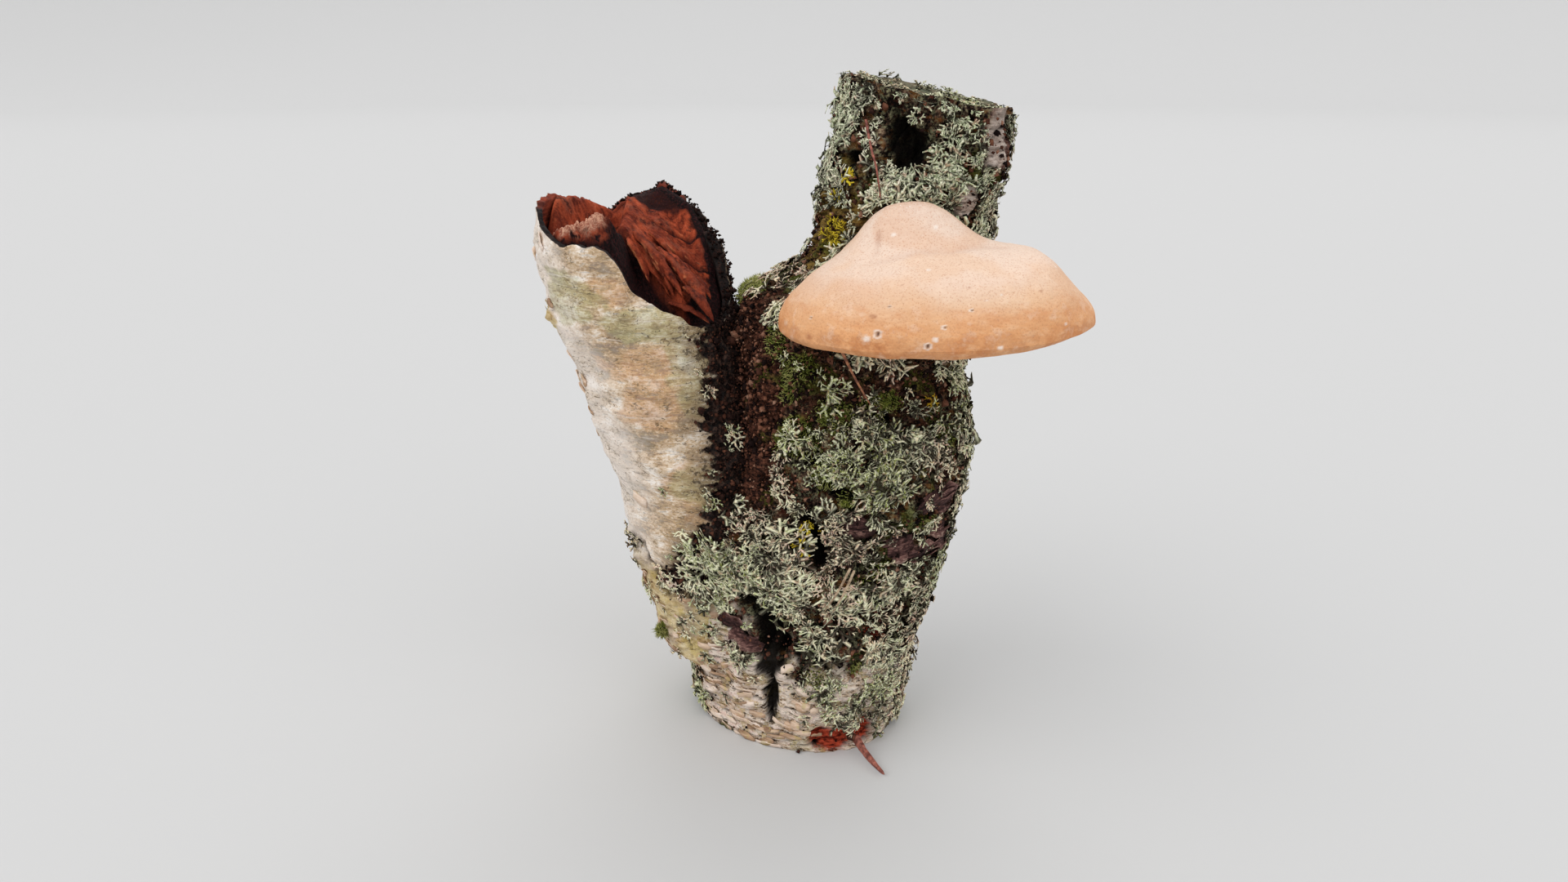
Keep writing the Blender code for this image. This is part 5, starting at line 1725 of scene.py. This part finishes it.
class BARK_OT_moss(bpy.types.Operator):
    """Moss in the fork, the sprig on the limb, and small patches on the bark"""
    bl_idname = "bracket.moss"
    bl_label = "Moss"

    def execute(self, context):
        material = moss_material()
        for name, node, squash, ragged, spacing, tall, wide in (
            ("fork_moss", "crotch_moss", 0.72, 0.42, 0.9, 2.4, 0.4),
            ("sprig_moss", "moss_sprig", 0.6, 0.5, 0.45, 2.6, 0.7),
        ):
            low, high = (np.array(corner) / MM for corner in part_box(node))
            middle, half = (low + high) / 2, (high - low) / 2
            rows, columns = 40, 80
            rise = np.linspace(-0.97, 0.97, rows)[:, None] * np.ones(columns) * math.pi / 2
            turn = np.broadcast_to(around(columns), rise.shape)
            ball = np.stack([np.cos(rise) * np.cos(turn), np.cos(rise) * np.sin(turn), np.sin(rise)], -1)
            size = half * squash
            points = middle - (0, 0, half[2] * (1 - squash)) + ball * size
            points = points + ball * noise(points, half.min() * 1.2, 130, 3)[..., None] * half.min() * ragged
            cushion, even = Carrier(points, np.ones(rise.shape)), np.full(rise.shape, 0.3)
            dress(closed_skin(name + "_cushion", points, tone=even, tip=even), material, [node])
            scattered(name + "_leaves", blades(cushion, spacing, tall, wide, 131), material)
        carrier, _, plain = trunk_carrier(0, TRUNK_TOP)
        green = strongest(plain, MOSS_PATCHES, 0.5) * outside_others(plain)
        scattered("bark_moss", blades(Carrier(carrier.points, green), 0.9, 2.4, 0.4, 132), material)
        return {"FINISHED"}


class BARK_OT_crumbs(bpy.types.Operator):
    """Crumbs of rotten bark in the gully and under the bracket, and curled scraps of papery bark"""
    bl_idname = "bracket.crumbs"
    bl_label = "Crumbs and scraps"

    def execute(self, context):
        carrier, _, plain = trunk_carrier(0, TRUNK_TOP)
        clear = outside_others(plain)
        rotten = np.maximum(blob(plain, *GULLY), 0.38 * blob(plain, *UNDER_CAP, 0.5))
        brown = 0.3 * smooth(noise(plain, 14, 26, 2), 0.1, 0.5) * (1 - strongest(plain, PAPERY_BASE))
        brown = np.maximum(brown, 0.4 * blob(plain, *CRUSTY_PATCH, 0.5))
        limb, masks = limb_carrier()
        crust = masks["crust"] * smooth(limb[..., 2], 60, 90)
        turn = around(160) + np.zeros((7, 1))
        inward = np.linspace(-0.1, 0.9, 7)[:, None]
        rim = torn_rim(turn)
        edge = limb_point(turn, rim - 1 + 0.4 * inward, limb_wall(turn, rim) * inward)
        crusty = smooth(np.cos(turn - FORK_SIDE), 0.0, 0.6)
        for name, part, spacing, seed, light in (
            ("gully_crumbs", Carrier(carrier.points, np.maximum(rotten, brown) * clear), 1.6, 140, 1.0),
            ("edge_crumbs", Carrier(limb, crust), 1.75, 141, 0.7),
            ("rim_crumbs", Carrier(edge, crusty), 1.1, 144, 0.4),
        ):
            bits = chunks(part, spacing, 0.8, seed, light=light)
            scattered(name, bits, crumb_material())
        papery = 0.7 * strongest(plain, PAPERY_BASE[:2]) * clear * (1 - smooth(hollowed(plain), 0.02, 0.1))
        low_limb = 0.5 * masks["yellow"] * smooth(limb[..., 2], 100, 60) + 0.12 * masks["white"]
        scraps = scrap_material()
        for name, part, spacing, length, seed in (
            ("bark_scraps", Carrier(carrier.points, papery), 6.0, 7.0, 142),
            ("limb_scraps", Carrier(limb, low_limb), 8.0, 8.0, 143),
        ):
            scattered(name, flakes(part, spacing, length, length * 0.38, seed, 1.3), scraps)
        loose = Carrier(carrier.points, 1.2 * plates(plain) * clear * smooth(-plain[..., 1], 0, 10))
        scattered("bark_plates", flakes(loose, 4.4, 9, 6, 147, 3.2), plate_material())
        return {"FINISHED"}


# Thickness, route and finish, along the middle of each strand's own node.
STRANDS = {
    "pine_needle_1": (1.2, ((22, -58.5, 106.5), (17, -57.8, 95), (11, -56.2, 83.8)), "dry_needle"),
    "pine_needle_2": (1.2, ((23.8, -58.5, 105.4), (19.5, -58.1, 94), (14.5, -56.8, 83.3)), "dry_needle"),
    "cap_needle": (
        1.3, ((13, -58, 213.5), (17, -58.5, 204), (22, -58.8, 194), (29, -57, 181.4)), "cap_needle"),
    "root_fibre": (
        1.1, ((26, -29, 294.5), (28, -34, 284), (30.2, -37.5, 275.8), (32.2, -38.4, 263.3)), "red_fibre"),
    "base_splinter": (
        4.0, ((27.4, -42.6, 7.6), (31, -49.5, 4.6), (35.2, -56.7, 2.8), (39.7, -64, 1.7)), "red_fibre"),
}
STRAND_COLOURS = {
    "dry_needle": ((196, 172, 142), (134, 108, 84)),
    "cap_needle": ((186, 122, 84), (110, 62, 42)),
    "red_fibre": ((176, 104, 86), (96, 40, 30)),
}


def spline(points, count):
    """A smooth curve through a few points, by a cubic through each pair and its neighbours."""
    knots = np.array(points, float)
    slopes = np.gradient(knots, axis=0)
    place = np.linspace(0, len(knots) - 1.000001, count)
    i = place.astype(int)
    return between((place - i)[:, None], knots[i], slopes[i], knots[i + 1], slopes[i + 1])


class BARK_OT_strands(bpy.types.Operator):
    """Pine needles, the root fibre and the splinter, as slightly flattened, ridged tubes"""
    bl_idname = "bracket.strands"
    bl_label = "Needles and fibres"

    def execute(self, context):
        share = np.linspace(0, 1, 36)
        turn = around(12)
        for name, (thickness, route, finish) in STRANDS.items():
            path = spline(route, len(share))
            forward = np.gradient(path, axis=0)
            forward /= np.linalg.norm(forward, axis=1)[:, None]
            side = np.cross(forward, (0, -1, 0.01))
            side /= np.linalg.norm(side, axis=1)[:, None]
            up = np.cross(side, forward)
            radius = thickness / 2 * (1 - 0.6 * share**2) * smooth(share, -0.06, 0.03)
            radius = radius * (1 - 0.7 * smooth(share, 0.93, 1.02))
            places = path[:, None] + 0 * turn[:, None]
            ridge = 1 + 0.12 * np.cos(turn * 3)[None] + 0.1 * noise(places, 3, 150, 2)
            ring_radius = radius[:, None] * ridge
            rings = path[:, None] + side[:, None] * (np.cos(turn)[:, None] * ring_radius[..., None])
            rings = rings - up[:, None] * (np.sin(turn)[:, None] * ring_radius[..., None] * 0.7)
            material = strand_material(finish, *STRAND_COLOURS[finish])
            dress(closed_skin(name + "_strand", rings), material, [name])
        return {"FINISHED"}


# Name, compass angle that it comes from, angle above the horizon, strength.
LIGHTS = (("key_light", 215, 48, 0.75), ("fill_light", 320, 40, 0.35), ("back_light", 80, 45, 0.4))
CAMERA_AT = (-0.0073, -0.4802, 0.3197)  # in metres
CAMERA_TILT = 70  # degrees up from straight down


class BARK_OT_stage(bpy.types.Operator):
    """Pale floor that curves up all round, soft lights, and the camera at the photograph's angle"""
    bl_idname = "bracket.stage"
    bl_label = "Stage"

    def execute(self, context):
        chosen = context.scene.bracket_stage
        self.floor(chosen)
        for name, azimuth, elevation, strength in LIGHTS:
            lamp = bpy.data.lights.new(name, "SUN")
            lamp.energy = strength
            lamp.angle = math.radians(50)
            placed = put(name, lamp)
            placed.rotation_euler = (math.radians(90 - elevation), 0, math.radians(azimuth + 90))
        world = bpy.data.worlds.new("soft_sky")
        world.use_nodes = True
        sky = world.node_tree.nodes["Background"].inputs
        sky["Color"].default_value = (1, 1, 1, 1)
        sky["Strength"].default_value = chosen.sky
        context.scene.world = world
        context.scene.view_settings.view_transform = "Standard"
        camera = bpy.data.cameras.new("photo_camera")
        camera.sensor_width = 36
        camera.lens = chosen.lens
        camera.clip_start = 0.01
        eye = put("photo_camera", camera)
        eye.location = CAMERA_AT
        eye.rotation_euler = (math.radians(CAMERA_TILT), 0, 0)
        context.scene.camera = eye
        return {"FINISHED"}

    @staticmethod
    def floor(chosen):
        """A flat disc whose edge turns up as a quarter circle into a wall."""
        bend = np.linspace(0, math.pi / 2, 24)
        rise = 0.35 * chosen.floor_radius
        flat = np.array([0.02, 0.5, 2.0, chosen.floor_radius])
        radius = np.concatenate([flat, chosen.floor_radius + np.sin(bend[1:]) * rise])
        level = np.concatenate([flat * 0, (1 - np.cos(bend[1:])) * rise])
        sides = 96
        turn = around(sides)
        spokes = np.stack([np.cos(turn), np.sin(turn)], -1)
        height = level[:, None, None] + 0 * spokes[..., :1]
        rings = np.concatenate([radius[:, None, None] * spokes, height], -1)
        hub = np.zeros((1, 3))
        points = np.concatenate([rings.reshape(-1, 3), hub]) / MM - (0, 0, 0.05)
        i = np.arange(sides)
        fan = np.stack([i, (i + 1) % sides, np.full(sides, len(points) - 1)], -1)
        mesh = mesh_of("floor", points, quads_of(len(radius), sides)[:, ::-1], fan)
        shader = Shader("floor_paper", roughness=0.95)
        shader.surface.inputs["Base Color"].default_value = (*chosen.floor_colour, 1)
        mesh.materials.append(shader.material)
        put("floor", mesh)


OPERATORS = (
    BARK_OT_stage, BARK_OT_trunk, BARK_OT_stem, BARK_OT_limb, BARK_OT_heart, BARK_OT_cap,
    BARK_OT_lichen, BARK_OT_moss, BARK_OT_crumbs, BARK_OT_strands,
)
SETTINGS = {
    "bracket_bark": BarkSettings, "bracket_limb": LimbSettings, "bracket_fungus": FungusSettings,
    "bracket_lichen": LichenSettings, "bracket_stage": StageSettings,
}


class BARK_PT_panel(bpy.types.Panel):
    """Settings and operators of the bracket fungus"""
    bl_idname = "BARK_PT_panel"
    bl_label = "Bracket fungus"
    bl_space_type = "VIEW_3D"
    bl_region_type = "UI"
    bl_category = "Bracket"

    def draw(self, context):
        for label, group in SETTINGS.items():
            box = self.layout.box()
            for name in group.__annotations__:
                box.prop(getattr(context.scene, label), name)
        for operator in OPERATORS:
            self.layout.operator(operator.bl_idname)


def register():
    for group in (*SETTINGS.values(), *OPERATORS, BARK_PT_panel):
        bpy.utils.register_class(group)
    for label, group in SETTINGS.items():
        setattr(bpy.types.Scene, label, bpy.props.PointerProperty(type=group))


def unregister():
    for label in SETTINGS:
        delattr(bpy.types.Scene, label)
    for group in reversed((*SETTINGS.values(), *OPERATORS, BARK_PT_panel)):
        bpy.utils.unregister_class(group)


def main():
    register()
    for operator in OPERATORS:
        family, name = operator.bl_idname.split(".")
        getattr(getattr(bpy.ops, family), name)()


if __name__ == "__main__":
    main()
